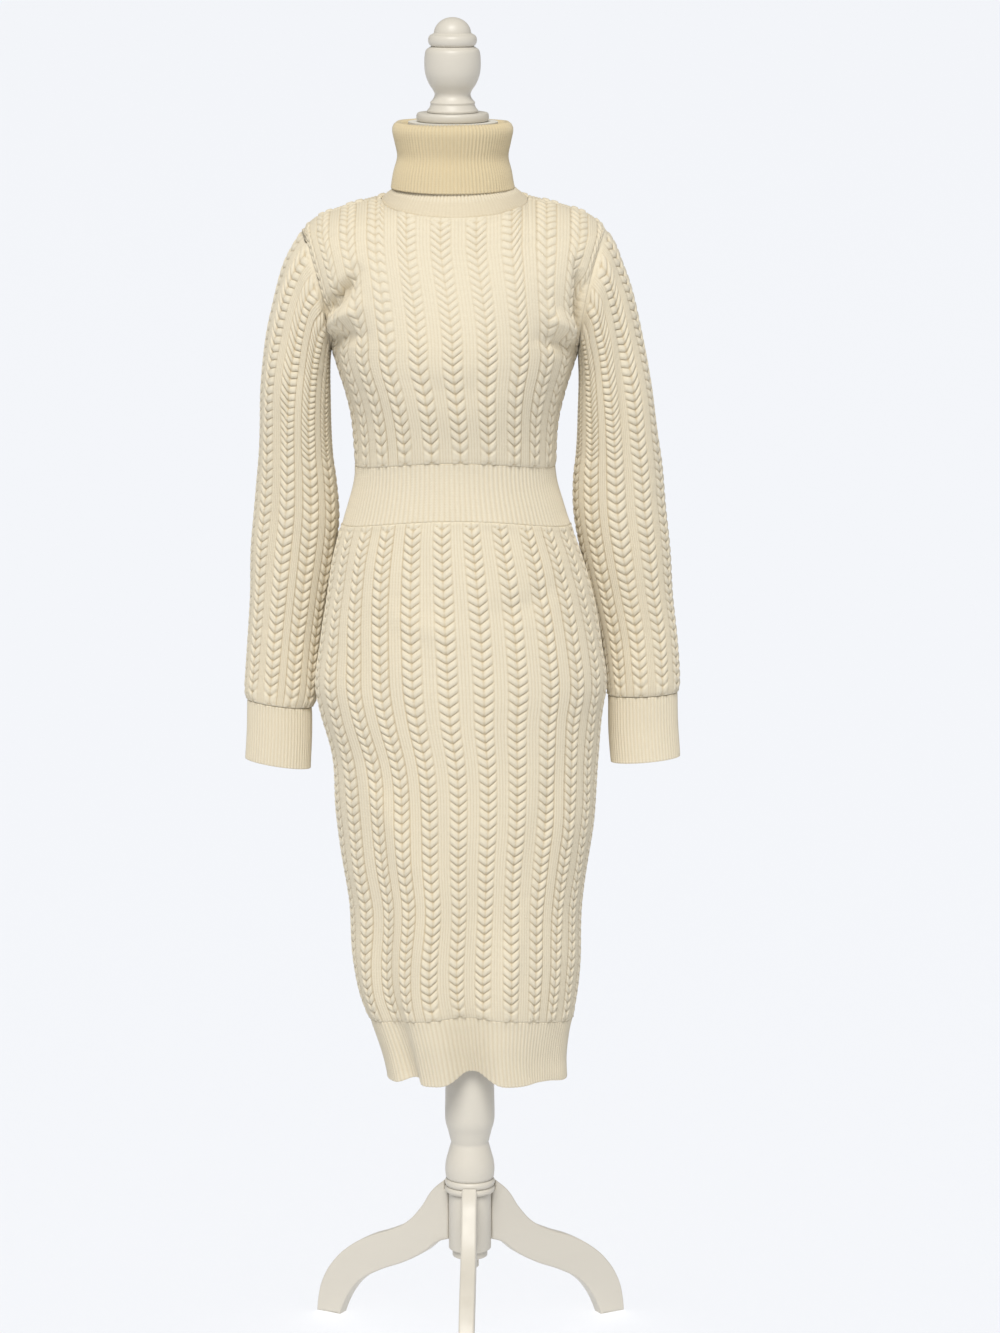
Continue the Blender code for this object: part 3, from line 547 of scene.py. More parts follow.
# soft ridges and troughs, in rows of where each is seen from, its height, its width and its points,
# which are (x or y, z); each dies away at both ends
def pressCreases(points, normals, creases):
    lift = np.zeros(points.shape[:2])
    sides = {"front": (0, -1), "back": (0, 1), "left": (1, -1), "right": (1, 1)}
    for seen, height, width, stops in creases:
        axis, way = sides[seen]
        facing = smoothStep(0.0, 0.45, way * normals[..., 1 - axis])
        x, z = points[..., axis], points[..., 2]
        stops = np.array(stops, float)
        runs = np.linalg.norm(np.diff(stops, axis=0), axis=1)
        ends = np.concatenate([[0], np.cumsum(runs)]) / runs.sum()
        nearest = np.full_like(x, 9.0)
        share = np.zeros_like(x)
        for k, run in enumerate(runs):
            toX, toZ = (stops[k + 1] - stops[k]) / run
            along = np.clip((x - stops[k, 0]) * toX + (z - stops[k, 1]) * toZ, 0, run)
            gap = np.hypot(x - stops[k, 0] - along * toX, z - stops[k, 1] - along * toZ)
            closer = gap < nearest
            nearest = np.where(closer, gap, nearest)
            share = np.where(closer, ends[k] + (ends[k + 1] - ends[k]) * along / run, share)
        taper = np.sin(pi * np.clip(share, 0.06, 0.94)) ** 0.7
        lift += height * taper * facing * np.exp(-((nearest / width) ** 2))
    return lift


# the slight unevenness of cloth that hangs, from a few slow waves
def unevenness(points, size):
    x, y, z = np.moveaxis(points, -1, 0)
    return size * (np.sin(61 * x + 17 * y + 23 * z + 0.7) + 0.8 * np.sin(37 * x - 52 * y - 41 * z + 2.1)
                   + 0.6 * np.sin(93 * x + 71 * y + 67 * z + 4.0)) / 2.4


# how far the surface turns in towards an edge
def roundEdge(distance, radius, drop):
    t = 1 - np.clip(distance / radius, 0, 1)
    return -drop * (1 - np.sqrt(1 - t * t))


# every few numbers up to count, both ends among them
def everyFew(count, step):
    marks = list(range(0, count, step))
    if len(marks) > 1 and count - marks[-1] < step / 2:
        marks.pop()
    return marks + [count]


# a closed cloth shell: a fine grid outside, a coarser one inside that uses some of its rows and
# columns, and the rims between them
def makeShell(name, outer, inner, rows, columns, closed, uv, paintedShade, innerShade, material):
    high, wide = outer.shape[0] - 1, outer.shape[1] - 1
    mesh = bmesh.new()
    bmesh.ops.create_grid(mesh, x_segments=wide, y_segments=high, size=0.5)
    fine = len(mesh.verts)
    bmesh.ops.create_grid(mesh, x_segments=len(columns) - 1, y_segments=len(rows) - 1, size=0.5)
    # each point carries its painted shade, which darkens the yarn's colour in the creases
    shadeLayer = mesh.verts.layers.float.new("paintedShade")
    places = np.concatenate([outer.reshape(-1, 3), inner.reshape(-1, 3)]) + pole
    depths = np.concatenate([paintedShade.ravel(), innerShade.ravel()])
    for vert, place, depth in zip(mesh.verts, places.tolist(), depths.tolist()):
        vert.co = place
        vert[shadeLayer] = depth
    verts = mesh.verts
    verts.ensure_lookup_table()
    # the rims are long faces, each with several outer points and two inner ones
    coarse = len(columns)
    paths = [([row * (wide + 1) + j for j in range(wide + 1)],
              [fine + innerRow * coarse + b for b in range(coarse)], columns)
             for row, innerRow in ((0, 0), (high, len(rows) - 1))]
    if not closed:
        paths += [([i * (wide + 1) + line for i in range(high + 1)],
                   [fine + a * coarse + innerLine for a in range(len(rows))], rows)
                  for line, innerLine in ((0, 0), (wide, coarse - 1))]
    for outerPath, innerPath, marks in paths:
        for k, (start, end) in enumerate(zip(marks, marks[1:])):
            ring = outerPath[start:end + 1] + [innerPath[k + 1], innerPath[k]]
            mesh.faces.new([verts[i] for i in ring])
    verts.index_update()
    uvLayer = mesh.loops.layers.uv.new("stitches")
    stitches = np.concatenate([uv.reshape(-1, 2), uv[np.ix_(rows, columns)].reshape(-1, 2)]).tolist()
    for face in mesh.faces:
        for loop in face.loops:
            loop[uvLayer].uv = stitches[loop.vert.index]
    if closed:
        seam = [verts[i * (wide + 1) + j] for i in range(high + 1) for j in (0, wide)]
        seam += [verts[fine + a * coarse + b] for a in range(len(rows)) for b in (0, coarse - 1)]
        bmesh.ops.remove_doubles(mesh, verts=seam, dist=0.000005)
    bmesh.ops.recalc_face_normals(mesh, faces=mesh.faces)
    piece = addMesh(name, mesh, material)
    piece.data.shade_smooth()
    return piece


# each cloth piece rides on the frame and takes the place of its node, which is hidden
def declareCloth(piece):
    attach(piece, "root")
    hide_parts(piece.name.removesuffix("_knit"))


cable = {
    "cells": 10,              # grid cells across a cable
    "groundCells": 12,        # and from one cable to the next
    "wales": 4,               # ridges of the ground between two cables
    "rise": 0.76,             # how far a V's arms rise, in crossings
    "rows": 5,                # grid rows for each crossing
    "gather": 0.105,          # how much nearer its crease each crossing's rows lie, in crossings
    "height": 0.0028,
    "groundBase": 0.00045,
    "groundHeight": 0.00095,
    "sink": 0.0007,           # the creases lie this far under the form
    "stitches": 4,            # courses in a crossing
    "wander": (0.07, 0.05),   # how unevenly the crossings lie, from cable to cable and along them
    "fullAt": 0.0020,         # the relief is full this far from a panel's ends
}


# places of the grid's lines between start and end; whole numbers are the cables' middles
def cableColumns(start, end, share):
    lines = []
    for middle in range(int(start) - 2, int(end) + 3):
        edge = middle + share / 2
        lines += list(np.linspace(middle - share / 2, edge, cable["cells"], endpoint=False))
        lines += list(np.linspace(edge, middle + 1 - share / 2, cable["groundCells"], endpoint=False))
    return np.array([line for line in lines if start < line < end])


# the knit's height over the form, its painted shade from 0 in the creases to 1, and each line's wale
def cableRelief(columns, crossings, share, stretch):
    off = columns - np.round(columns)
    t = np.abs(off) / (share / 2)
    phase = crossings % 1
    lozenge = 1 - np.abs(2 * phase - 1) ** 2.2 - (np.abs(t - 0.49) / 0.51) ** 4
    plait = np.sqrt(np.clip(lozenge, 0, 1)) * cable["height"]
    wale = (np.abs(off) - share / 2) / (1 - share) * cable["wales"]
    ridge = 0.5 - 0.5 * np.cos(2 * pi * wale)
    ground = cable["groundBase"] + cable["groundHeight"] * stretch * ridge
    height = np.where(t < 1, plait, ground)
    wales = np.round(columns) * (6 + cable["wales"]) + np.where(t < 1, t * 3, 3 + wale) * np.sign(off)
    # painted shade: the plaits darken towards their creases and the ground between its wales
    shade = np.where(t < 1, 1.15 * plait / cable["height"], 0.36 + 0.64 * ridge)
    return height, shade, np.broadcast_to(wales, height.shape)


# a cable-knit panel or tube over the lines that linesOf gives, which run from the bottom up
def makeCableKnit(name, linesOf, start, end, look, material, middle):
    closed, pitch, share, rows = look["closed"], look["pitch"], look["share"], cable["rows"]
    if closed:
        columns = cableColumns(start - 0.001, end - 0.001, share)
        columns = np.concatenate([columns, [columns[0] + end - start]])
    else:
        columns = cableColumns(start + 0.04, end - 0.04, share)
        columns = np.concatenate([[start, start + 0.018], columns, [end - 0.018, end]])
    lines = linesOf(columns)
    lengths = lineLengths(lines)
    total = lengths[-1]
    # rows keep the pitch up to a steady height, and share what is left above it evenly
    count = int(round(total.max() / pitch)) * rows
    steadyRows = int(look["steady"] * total.min() / pitch) * rows
    index = np.concatenate([[0, 0.3, 0.8], np.arange(2, count - 1), [count - 0.8, count - 0.3, count]])
    index = index[:, None]
    steady = steadyRows * pitch / rows
    # each crossing's rows gather at its crease
    drawn = index - cable["gather"] * rows * np.sin(2 * pi * index / rows)
    drawn = np.where((index < 2) | (index > count - 2), index, drawn)
    above = steady + (drawn - steadyRows) / (count - steadyRows) * (total - steady)
    level = np.where(index <= steadyRows, drawn * pitch / rows, above)
    arms = cable["rise"] * np.minimum(np.abs(columns - np.round(columns)) / (share / 2), 1)
    fade = smoothStep(0, 1.2 * pitch, level) * smoothStep(0, 1.8 * pitch, total - level)
    place = columns % (end - start) if closed else columns
    byCable, bySpot = cable["wander"]
    wander = byCable * np.sin(1.7 * (np.round(place) % 10) + level * 31) + bySpot * np.sin(level * 83)
    up = np.clip(level + (arms + wander) * pitch * fade, 0, total)
    base = readLines(lines, lengths, up)
    normals = outwardNormals(base, closed, middle)
    # distances to the ends, to the seams at the sides or the armhole, and to the nearer of them
    ends = np.minimum(up, total - up)
    sides = total - up
    if not closed:
        across = np.cumsum(np.linalg.norm(np.diff(base, axis=1), axis=2), axis=1)
        across = np.concatenate([np.zeros((len(up), 1)), across], axis=1)
        sides = np.minimum(across, across[:, -1:] - across)
    edge = np.minimum(ends, sides)
    lift = pressCreases(base, normals, look["creases"]) + unevenness(base, look["uneven"])
    base = base + normals * (lift * smoothStep(0, look["calm"], edge))[..., None]
    normals = outwardNormals(base, closed, middle)
    crossings = drawn / rows + arms * (fade - 1)
    height, shade, wales = cableRelief(columns, crossings, share, look["ground"])
    plump = smoothStep(0, cable["fullAt"], ends) * smoothStep(0, look["plain"], sides)
    amount, at, spread = look["stretched"]
    plump *= 1 - amount * np.exp(-(((base[..., 2] - at) / spread) ** 2))
    height = cable["groundBase"] + (height - cable["groundBase"]) * plump
    # where the cables lie flatter, their painted shade evens out
    shade = 0.8 + (shade - 0.8) * plump
    lifted = height - cable["sink"] + roundEdge(edge, 0.0008, 0.0002)
    outer = base + normals * lifted[..., None]
    rowMarks, columnMarks = everyFew(len(index) - 1, 6), everyFew(len(columns) - 1, 6)
    inner = (base - normals * wall)[np.ix_(rowMarks, columnMarks)]
    uv = np.stack([wales, np.broadcast_to(index / rows * cable["stitches"], up.shape)], axis=-1)
    paintedShade = np.clip(shade, 0, 1)
    piece = makeShell(name, outer, inner, rowMarks, columnMarks, closed, uv, paintedShade,
                      np.full(inner.shape[:2], 0.5), material)
    declareCloth(piece)
    return piece


# a ribbed tube over the lines that linesOf gives; it takes degrees around, from 0 to 360
def makeRibKnit(name, linesOf, look, material, middle):
    columns = np.arange(look["ribs"] * look["cells"] + 1) / look["cells"]
    lines = linesOf(columns / look["ribs"] * 360)
    lengths = lineLengths(lines)
    total = lengths[-1]
    count = int(total.max() / look["row"])
    index = np.concatenate([[0, 0.2, 0.5], np.arange(1, count), [count - 0.5, count - 0.2, count]])
    up = index[:, None] / count * total
    base = readLines(lines, lengths, up)
    normals = outwardNormals(base, True, middle)
    edge = np.minimum(up, total - up)
    lift = pressCreases(base, normals, look["creases"]) + unevenness(base, look["uneven"])
    base = base + normals * (lift * smoothStep(0, look["calm"], edge))[..., None]
    normals = outwardNormals(base, True, middle)
    shown = look["shown"](up / total) if "shown" in look else np.ones_like(up)
    wave = (0.5 + 0.5 * np.cos(2 * pi * columns)) * shown
    height = (wave - 0.5) * look["height"]
    rim = roundEdge(edge, 0.0012, look["turnIn"])
    # painted shade: darker in the grooves between the ribs
    paintedShade = 0.35 + 0.65 * wave
    if look["folded"]:
        half = look["thick"] / 2
        rowMarks, columnMarks = list(range(len(index))), list(range(len(columns)))
        outer = base + normals * (half + rim + height)[..., None]
        inner = base - normals * (half + rim - height)[..., None]
        # the inner face's painted shade is darker in its own grooves
        innerShade = 1 - wave
    else:
        rowMarks, columnMarks = everyFew(len(index) - 1, 4), everyFew(len(columns) - 1, 8)
        outer = base + normals * (height + rim - 0.0001)[..., None]
        inner = (base - normals * wall)[np.ix_(rowMarks, columnMarks)]
        innerShade = np.full(inner.shape[:2], 0.5)
    uv = np.stack([np.broadcast_to(columns * 2, up.shape), up / look["course"]], axis=-1)
    piece = makeShell(name, outer, inner, rowMarks, columnMarks, True, uv, paintedShade, innerShade,
                      material)
    declareCloth(piece)
    return piece


knitYarn = makeYarn("knitYarn")
ribYarn = makeYarn("ribYarn")
# a darker copy of the yarn for the folded neck, as painted shade
shadedNeckYarn = makeYarn("shadedNeckYarn", yarn["neck"])
middleBody = np.array([bodyX, 0.0, 1.0])
samples = 300          # points along each line that a knit follows

skirt = {
    "closed": False, "pitch": 0.01055, "steady": 0.9, "share": 0.60, "ground": 1.0, "uneven": 0.0012,
    "calm": 0.012,         # folds die away this near to an edge
    "plain": 0.003,        # and the cables this near to a seam
    "stretched": (0, 0.8, 0.1),      # how much flatter where it's stretched, that height, its spread
    "turn": 15.0,          # degrees from one cable to the next
    "first": 8.2,          # cable 0 runs this many degrees to the right of the middle of the front
    "trim": 0.15,          # degrees from the side seam to a panel's edge
    "drift": 10.5,         # degrees that the left front's cables run askew where they do most
    "driftColumns": (-6.54, -4.2, 1.0),    # the cables where that starts, is most, and ends
    "driftHeights": (0.95, 0.64),          # it grows from one height down to the other
    "driftEnds": (0.55, 0.42, 0.8),        # and this share of it goes again between these heights
    "range": (0.40, 0.99),
    "creases": [
        ("front", -0.0030, 0.010, [(-0.076, 0.400), (-0.074, 0.480), (-0.062, 0.580)]),
        ("front", 0.0035, 0.009, [(-0.055, 0.400), (-0.052, 0.485), (-0.045, 0.580)]),
        ("front", 0.0030, 0.011, [(0.037, 0.400), (0.045, 0.461), (0.060, 0.540)]),
        ("front", 0.0022, 0.014, [(-0.110, 0.905), (-0.060, 0.880), (0.000, 0.872)]),
        ("front", -0.0022, 0.013, [(0.115, 0.930), (0.070, 0.905), (0.020, 0.896)]),
        ("front", 0.0026, 0.014, [(-0.120, 0.700), (-0.085, 0.640), (-0.060, 0.560)]),
        ("front", -0.0024, 0.014, [(0.105, 0.720), (0.080, 0.640), (0.070, 0.560)]),
        ("back", -0.0040, 0.011, [(-0.080, 0.960), (-0.020, 0.945), (0.040, 0.958)]),
        ("back", 0.0034, 0.012, [(0.070, 0.930), (0.010, 0.915), (-0.050, 0.928)]),
        ("back", -0.0040, 0.014, [(0.060, 0.760), (0.045, 0.640), (0.040, 0.500)]),
        ("back", 0.0036, 0.014, [(-0.060, 0.740), (-0.050, 0.620), (-0.045, 0.480)]),
    ],
}


# lines up the skirt from the hem band to the waist band, at angles counted from the front
def skirtLines(columns, low, high):
    t = np.linspace(0, 1, samples)[:, None]
    bottom, top = skirt["range"]
    z = bottom + (top - bottom) * t
    upper, lower, share = skirt["driftEnds"]
    askew = smoothStep(*skirt["driftHeights"], z) * (1 - share * smoothStep(upper, lower, z))
    lean = np.interp(columns, skirt["driftColumns"], [0, skirt["drift"], 0])
    angle = skirt["first"] + skirt["turn"] * columns + askew * lean - 90
    angle = np.clip(angle, low + skirt["trim"], high - skirt["trim"])
    bottom = seamHeight("hemTop", angle) + 0.0001
    top = seamHeight("waistBottom", angle) - 0.0002
    return bodyPoints(angle, bottom + (top - bottom) * t)


edgeColumn = (90 - skirt["first"]) / skirt["turn"]
makeCableKnit("skirt_front_knit", lambda columns: skirtLines(columns, -180, 0),
              edgeColumn - 12, edgeColumn, skirt, knitYarn, middleBody)
makeCableKnit("skirt_back_knit", lambda columns: skirtLines(columns, 0, 180),
              edgeColumn, edgeColumn + 12, skirt, knitYarn, middleBody)

bodice = {
    "closed": False, "pitch": 0.0120, "steady": 0.42, "share": 0.60, "ground": 1.0, "uneven": 0.0008,
    "calm": 0.005,
    "plain": 0.007,
    "stretched": (0.38, 1.27, 0.075),
    "creases": [
        ("front", 0.0110, 0.0095, [(-0.124, 1.246), (-0.146, 1.231), (-0.158, 1.214)]),
        ("front", -0.0150, 0.0075, [(-0.126, 1.284), (-0.136, 1.267), (-0.149, 1.249),
         (-0.162, 1.226)]),
        ("front", -0.0070, 0.0080, [(-0.120, 1.214), (-0.147, 1.206), (-0.164, 1.196)]),
        ("front", 0.0110, 0.0095, [(0.092, 1.238), (0.110, 1.220), (0.122, 1.206)]),
        ("front", -0.0140, 0.0065, [(0.124, 1.290), (0.128, 1.264), (0.127, 1.240), (0.127, 1.206)]),
        ("front", -0.0060, 0.0080, [(0.080, 1.208), (0.104, 1.200), (0.122, 1.194)]),
        ("front", -0.0030, 0.020, [(-0.080, 1.165), (-0.016, 1.150), (0.050, 1.165)]),
        ("back", -0.0050, 0.008, [(-0.120, 1.285), (-0.134, 1.250), (-0.138, 1.215)]),
        ("back", -0.0045, 0.008, [(0.090, 1.280), (0.104, 1.245), (0.108, 1.212)]),
        ("back", -0.0030, 0.012, [(-0.070, 1.120), (-0.020, 1.108), (0.040, 1.118)]),
        ("back", 0.0028, 0.012, [(0.050, 1.150), (0.000, 1.138), (-0.050, 1.146)]),
    ],
    "first": 0.039,        # where cable 0 runs, from -1 at the left edge to 1 at the right
    "turn": 0.181,         # from one cable to the next
    "lean": 0.11,          # the cables lean this far to the left on the way up
    "leanBelow": 0.42,     # this share of the lean comes below the bust
    "leanAbove": 0.87,
    "backLean": -0.3,
    "spread": 5,           # how late towards the side the cables spread with the shoulder
    "neckline": 3.9,       # the front half of the neckline is this many rows' spacing long
    "smoothing": 17,       # steps, of 400 across, over which the neck's corner is rounded
}


# where a bodice line ends, as a row and a place across: on the shoulder seam or at the neckline;
# the neck's corner is rounded over so that neighbouring lines stay alike
def lineEnds(tipX, rows):
    heights = np.linspace(tipRow, neckRow, 120)
    halves = readTable(range(len(rows)), rows, heights)[:, 0]
    neckHalf = rows[neckRow, 0]
    reach = np.linspace(0, rows[tipRow, 0], 400)
    seam = np.interp(-reach, -halves, heights)
    neckline = neckRow + bodice["neckline"] * (1 - np.arcsin(np.minimum(reach / neckHalf, 1)) * 2 / pi)
    ends = np.where(reach > neckHalf, seam, neckline)
    window = np.hanning(2 * bodice["smoothing"] + 1)
    padded = np.pad(ends, bodice["smoothing"], mode="reflect", reflect_type="odd")
    smooth = np.convolve(padded, window / window.sum(), "valid")
    end = np.interp(np.abs(tipX), reach, smooth)
    across = 1 - np.maximum(end - neckRow, 0) / bodice["neckline"]
    return np.clip(end, tipRow, neckRow), across * np.sign(tipX)


# lines up the bodice: straight above the underarm, and on up to the shoulder seam or the neckline
def bodiceLines(columns, front):
    rows = bodiceRows(front)
    keys = range(len(rows))
    way = 1 if front else -1
    across = np.clip(bodice["first"] * way + bodice["turn"] * columns, -1, 1)
    lean = bodice["lean"] * (across**2 - 1) * (1 if front else bodice["backLean"])

    def sideways(row, place):
        part = readTable(keys, rows, row)
        return part[..., 0] * np.sin(np.clip(place, -1, 1) * part[..., 3]) / np.sin(part[..., 3])

    bustX = sideways(np.full(columns.shape, bustRow), across + bodice["leanBelow"] * lean)
    bustHalf, tipHalf = rows[bustRow, 0], rows[tipRow, 0]
    spread = np.sign(bustX) * np.abs(bustX / bustHalf) ** bodice["spread"]
    shift = bodice["leanAbove"] * lean * bustHalf
    tipX = bustX + (tipHalf - bustHalf) * spread + shift
    last, lastAcross = lineEnds(tipX, rows)
    lastX = sideways(last, lastAcross)
    row = np.linspace(0, 1, samples)[:, None] * last
    part = readTable(keys, rows, row)
    half, wrap = part[..., 0], part[..., 3]
    rise = smoothStep(bustRow, tipRow, row)
    x = bustX + (half - bustHalf) * spread + shift * rise
    aboveTip = np.clip((row - tipRow) / np.maximum(last - tipRow, 0.001), 0, 1)
    x = np.where(row > tipRow, tipX + (lastX - tipX) * aboveTip, x)
    above = np.arcsin(np.clip(x * np.sin(wrap) / half, -1, 1)) / wrap
    below = across + bodice["leanBelow"] * lean * smoothStep(0, bustRow, row)
    blend = smoothStep(bustRow - 2, bustRow + 1, row)
    place = below + (above - below) * blend
    place = np.where(np.abs(across) > 0.9999, np.sign(across), place)
    return bodicePoints(row, np.clip(place, -1, 1), front)


for side, front in (("front", True), ("back", False)):
    middleColumn = -bodice["first"] / bodice["turn"] * (1 if front else -1)
    makeCableKnit(f"bodice_{side}_knit", lambda columns: bodiceLines(columns, front),
                  middleColumn - 1 / bodice["turn"], middleColumn + 1 / bodice["turn"],
                  bodice, knitYarn, middleBody)

sleeves = {
    "closed": True, "pitch": 0.0107, "steady": 0.7, "share": 0.70, "ground": 1.3, "uneven": 0.0009,
    "calm": 0.006,
    "plain": 0.009,
    "stretched": (0, 1.0, 0.1),
    "turn": 36.0,          # degrees from one cable to the next
    "first": {"left": (279, 287), "right": (266, 266)},    # where cable 0 runs, high and low
    "tuck": (0.0002, 0.0004),        # how far its end sits in the armhole, and more at the tip
    "creases": {
        "left": [
            ("front", -0.0042, 0.007, [(-0.193, 1.300), (-0.195, 1.257), (-0.196, 1.162),
             (-0.212, 1.108), (-0.215, 1.039), (-0.234, 0.860)]),
            ("front", 0.0040, 0.007, [(-0.176, 1.285), (-0.170, 1.235), (-0.168, 1.170)]),
            ("front", 0.0030, 0.010, [(-0.216, 1.215), (-0.222, 1.140), (-0.231, 1.060)]),
            ("back", -0.0045, 0.009, [(-0.180, 1.270), (-0.188, 1.170), (-0.200, 1.060)]),
            ("back", 0.0035, 0.009, [(-0.205, 1.130), (-0.215, 1.020), (-0.220, 0.930)]),
        ],
        "right": [
            ("front", -0.0042, 0.007, [(0.166, 1.298), (0.173, 1.200), (0.175, 1.107),
             (0.182, 1.039), (0.190, 0.830)]),
            ("front", 0.0040, 0.007, [(0.148, 1.285), (0.143, 1.235), (0.140, 1.175)]),
            ("front", 0.0030, 0.010, [(0.196, 1.215), (0.203, 1.120), (0.212, 1.030)]),
            ("back", -0.0045, 0.009, [(0.155, 1.265), (0.165, 1.160), (0.180, 1.050)]),
            ("back", 0.0035, 0.009, [(0.185, 1.110), (0.195, 1.000), (0.205, 0.900)]),
        ],
    },
}


# lines up a sleeve from its cuff to the armhole
def sleeveLines(columns, side, table):
    rows = len(table)
    high, low = sleeves["first"][side]
    way = -1 if side == "left" else 1
    turns = [start + sleeves["turn"] * columns for start in np.linspace(high, low, rows + 1)]
    half, depth, z = np.moveaxis(armholePoint(-turns[0]), -1, 0)
    tuckLow, tuckHigh = sleeves["tuck"]
    tuck = tuckLow + tuckHigh * np.maximum(np.cos(np.radians(turns[0])), 0) ** 2
    start = np.stack([bodyX + way * (half - tuck), -depth, z], axis=-1)
    rings = np.array([start] + ovalRings(table, way, turns[1:]))[::-1]
    at = np.linspace(0, rows, samples)[:, None] * np.ones(len(columns))
    return readTable(range(rows + 1), rings, at, column=np.arange(len(columns)))


cuffs = {
    "ribs": 58, "cells": 4, "row": 0.0030, "course": 0.0027, "height": 0.0011, "uneven": 0.0005,
    "calm": 0.008, "folded": False, "turnIn": 0.0003, "creases": [],
}


def cuffLines(degrees, side, table):
    way = -1 if side == "left" else 1
    rings = np.array(ovalRings(table, way, [degrees] * len(table)))[::-1]
    at = np.linspace(0, len(table) - 1, 60)[:, None] * np.ones(len(degrees))
    return readTable(range(len(table)), rings, at, column=np.arange(len(degrees)))


armTables = {"left": (leftSleeveTable, leftCuffTable), "right": (rightSleeveTable, rightCuffTable)}
for side, (armTable, cuffTable) in armTables.items():
    middleArm = np.array([np.mean([row[0] + row[2] for row in armTable]) / 2, 0.02, 1.0])
    middleArm[0] *= -1 if side == "left" else 1
    sleeveLook = {**sleeves, "creases": sleeves["creases"][side]}
    makeCableKnit(f"sleeve_{side}_knit", lambda columns: sleeveLines(columns, side, armTable), 0, 10,
                  sleeveLook, knitYarn, middleArm)
    makeRibKnit(f"cuff_{side}_knit", lambda degrees: cuffLines(degrees, side, cuffTable),
                cuffs, ribYarn, middleArm)

waistBand = {
    "ribs": 126, "cells": 4, "row": 0.0030, "course": 0.0030, "height": 0.0013, "uneven": 0.0005,
    "calm": 0.010, "folded": False, "turnIn": 0.0003, "creases": [],
}
hemBand = {
    "ribs": 142, "cells": 4, "row": 0.0030, "course": 0.0030, "height": 0.0011, "uneven": 0.0009,
    "calm": 0.010, "folded": False, "turnIn": 0.0003, "creases": [],
    "lift": 0.45,          # the edge rises this share of a fold's depth
}


def bandLines(angle, bottom, top):
    return bodyPoints(angle, bottom + (top - bottom) * np.linspace(0, 1, 60)[:, None])


def waistLines(angle):
    top = seamHeight("waistTop", angle) + 0.0002
    return bandLines(angle, seamHeight("waistBottom", angle) - 0.0001, top)


def hemLines(angle):
    edge = foldPull(angle, np.full_like(angle, seams["hemEdge"][0]))
    bottom = seamHeight("hemEdge", angle) + hemBand["lift"] * edge
    return bandLines(angle, bottom, seamHeight("hemTop", angle))


makeRibKnit("waist_band_knit", waistLines, waistBand, ribYarn, middleBody)
makeRibKnit("hem_band_knit", hemLines, hemBand, ribYarn, middleBody)

neckBand = {
    "ribs": 110, "cells": 4, "row": 0.0016, "course": 0.0026, "height": 0.0008, "uneven": 0.0003,
    "calm": 0.006, "folded": False, "turnIn": 0.0003, "creases": [],
    "shown": lambda share: 0.25 + 0.75 * smoothStep(0.55, 0.75, share),
}
turtleneck = {
    "ribs": 96, "cells": 4, "row": 0.0034, "course": 0.0028, "height": 0.0016, "uneven": 0.0008,
    "calm": 0.008, "folded": True, "thick": 0.0028, "turnIn": 0.0007, "creases": [],
    "squash": 0.97,        # depth over width
}


def neckBandLines(angle):
    rings = []
    for sideZ, half, frontZ, frontDepth, backZ, backDepth in bandTable:
        turn = np.sin(np.radians(angle))
        depth = np.where(turn < 0, frontDepth, backDepth)
        middleZ = np.where(turn < 0, frontZ, backZ)
        rings.append(np.stack([bodyX + half * np.cos(np.radians(angle)), depth * turn,
                               sideZ + (middleZ - sideZ) * np.abs(turn)], axis=-1))
    t = np.linspace(0, 1, 40)[:, None, None]
    bulge = np.array([0, 0, 0.0012]) * np.sin(pi * t)
    return rings[0] + (rings[1] - rings[0]) * t + bulge


def turtleneckLines(angle):
    row = readTable(range(len(collarTable)), collarTable, np.linspace(0, len(collarTable) - 1, samples))
    radius, sideZ, frontZ, backZ = (row[:, i, None] for i in range(4))
    turn = np.sin(np.radians(angle))
    z = sideZ + (np.where(turn < 0, frontZ, backZ) - sideZ) * turn**2
    x = neckX + radius * np.cos(np.radians(angle))
    return np.stack([x, radius * turtleneck["squash"] * turn, z], axis=-1)


middleNeck = np.array([neckX, 0.0, 1.4])
makeRibKnit("neck_band_knit", neckBandLines, neckBand, ribYarn, middleNeck)
makeRibKnit("turtleneck_knit", turtleneckLines, turtleneck, shadedNeckYarn, middleNeck)
print("cloth made")


# a new piece from a bmesh, which stands for a CAD node; edges past the angle stay sharp
def finishPiece(mesh, name, node, material, sharp):
    bmesh.ops.remove_doubles(mesh, verts=mesh.verts, dist=0.000008)
    bmesh.ops.recalc_face_normals(mesh, faces=mesh.faces)
    piece = addMesh(name, mesh, material)
    piece.data.shade_smooth()
    piece.data.set_sharp_from_angle(angle=radians(sharp))
    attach(piece, "root")
    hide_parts(node)
    return piece


form = {
    "clear": 0.0085,       # from the outside of the cloth to the form under it
    "bottom": 0.745,
    "rim": 0.006,          # the bottom's edge is rounded in by this much
    "bust": 0.002,         # extra room at the chest
    "underarm": (0.140, 1.19),       # half width and height at the underarm
    "heights": (0.749, 0.775, 0.81, 0.85, 0.89, 0.93, 0.97, 1.01, 1.045),
    "around": 96,
    "rows": 90,
}
# the form above the underarms: z, middle, half width, front depth, back depth
shoulderTable = [
    (1.215, -0.0160, 0.1330, 0.1110, 0.0940),
    (1.250, -0.0160, 0.1360, 0.1000, 0.0920),
    (1.285, -0.0160, 0.1420, 0.0870, 0.0860),
    (1.310, -0.0160, 0.1440, 0.0740, 0.0770),
    (1.325, -0.0160, 0.1380, 0.0650, 0.0690),
    (1.336, -0.0160, 0.1200, 0.0580, 0.0600),
    (1.343, -0.0165, 0.0930, 0.0530, 0.0540),
    (1.350, -0.0170, 0.0640, 0.0510, 0.0515),
    (1.362, -0.0172, 0.0525, 0.0505, 0.0505),
    (1.405, -0.0174, 0.0515, 0.0500, 0.0500),
    (1.4455, -0.0176, 0.0510, 0.0495, 0.0495),
]


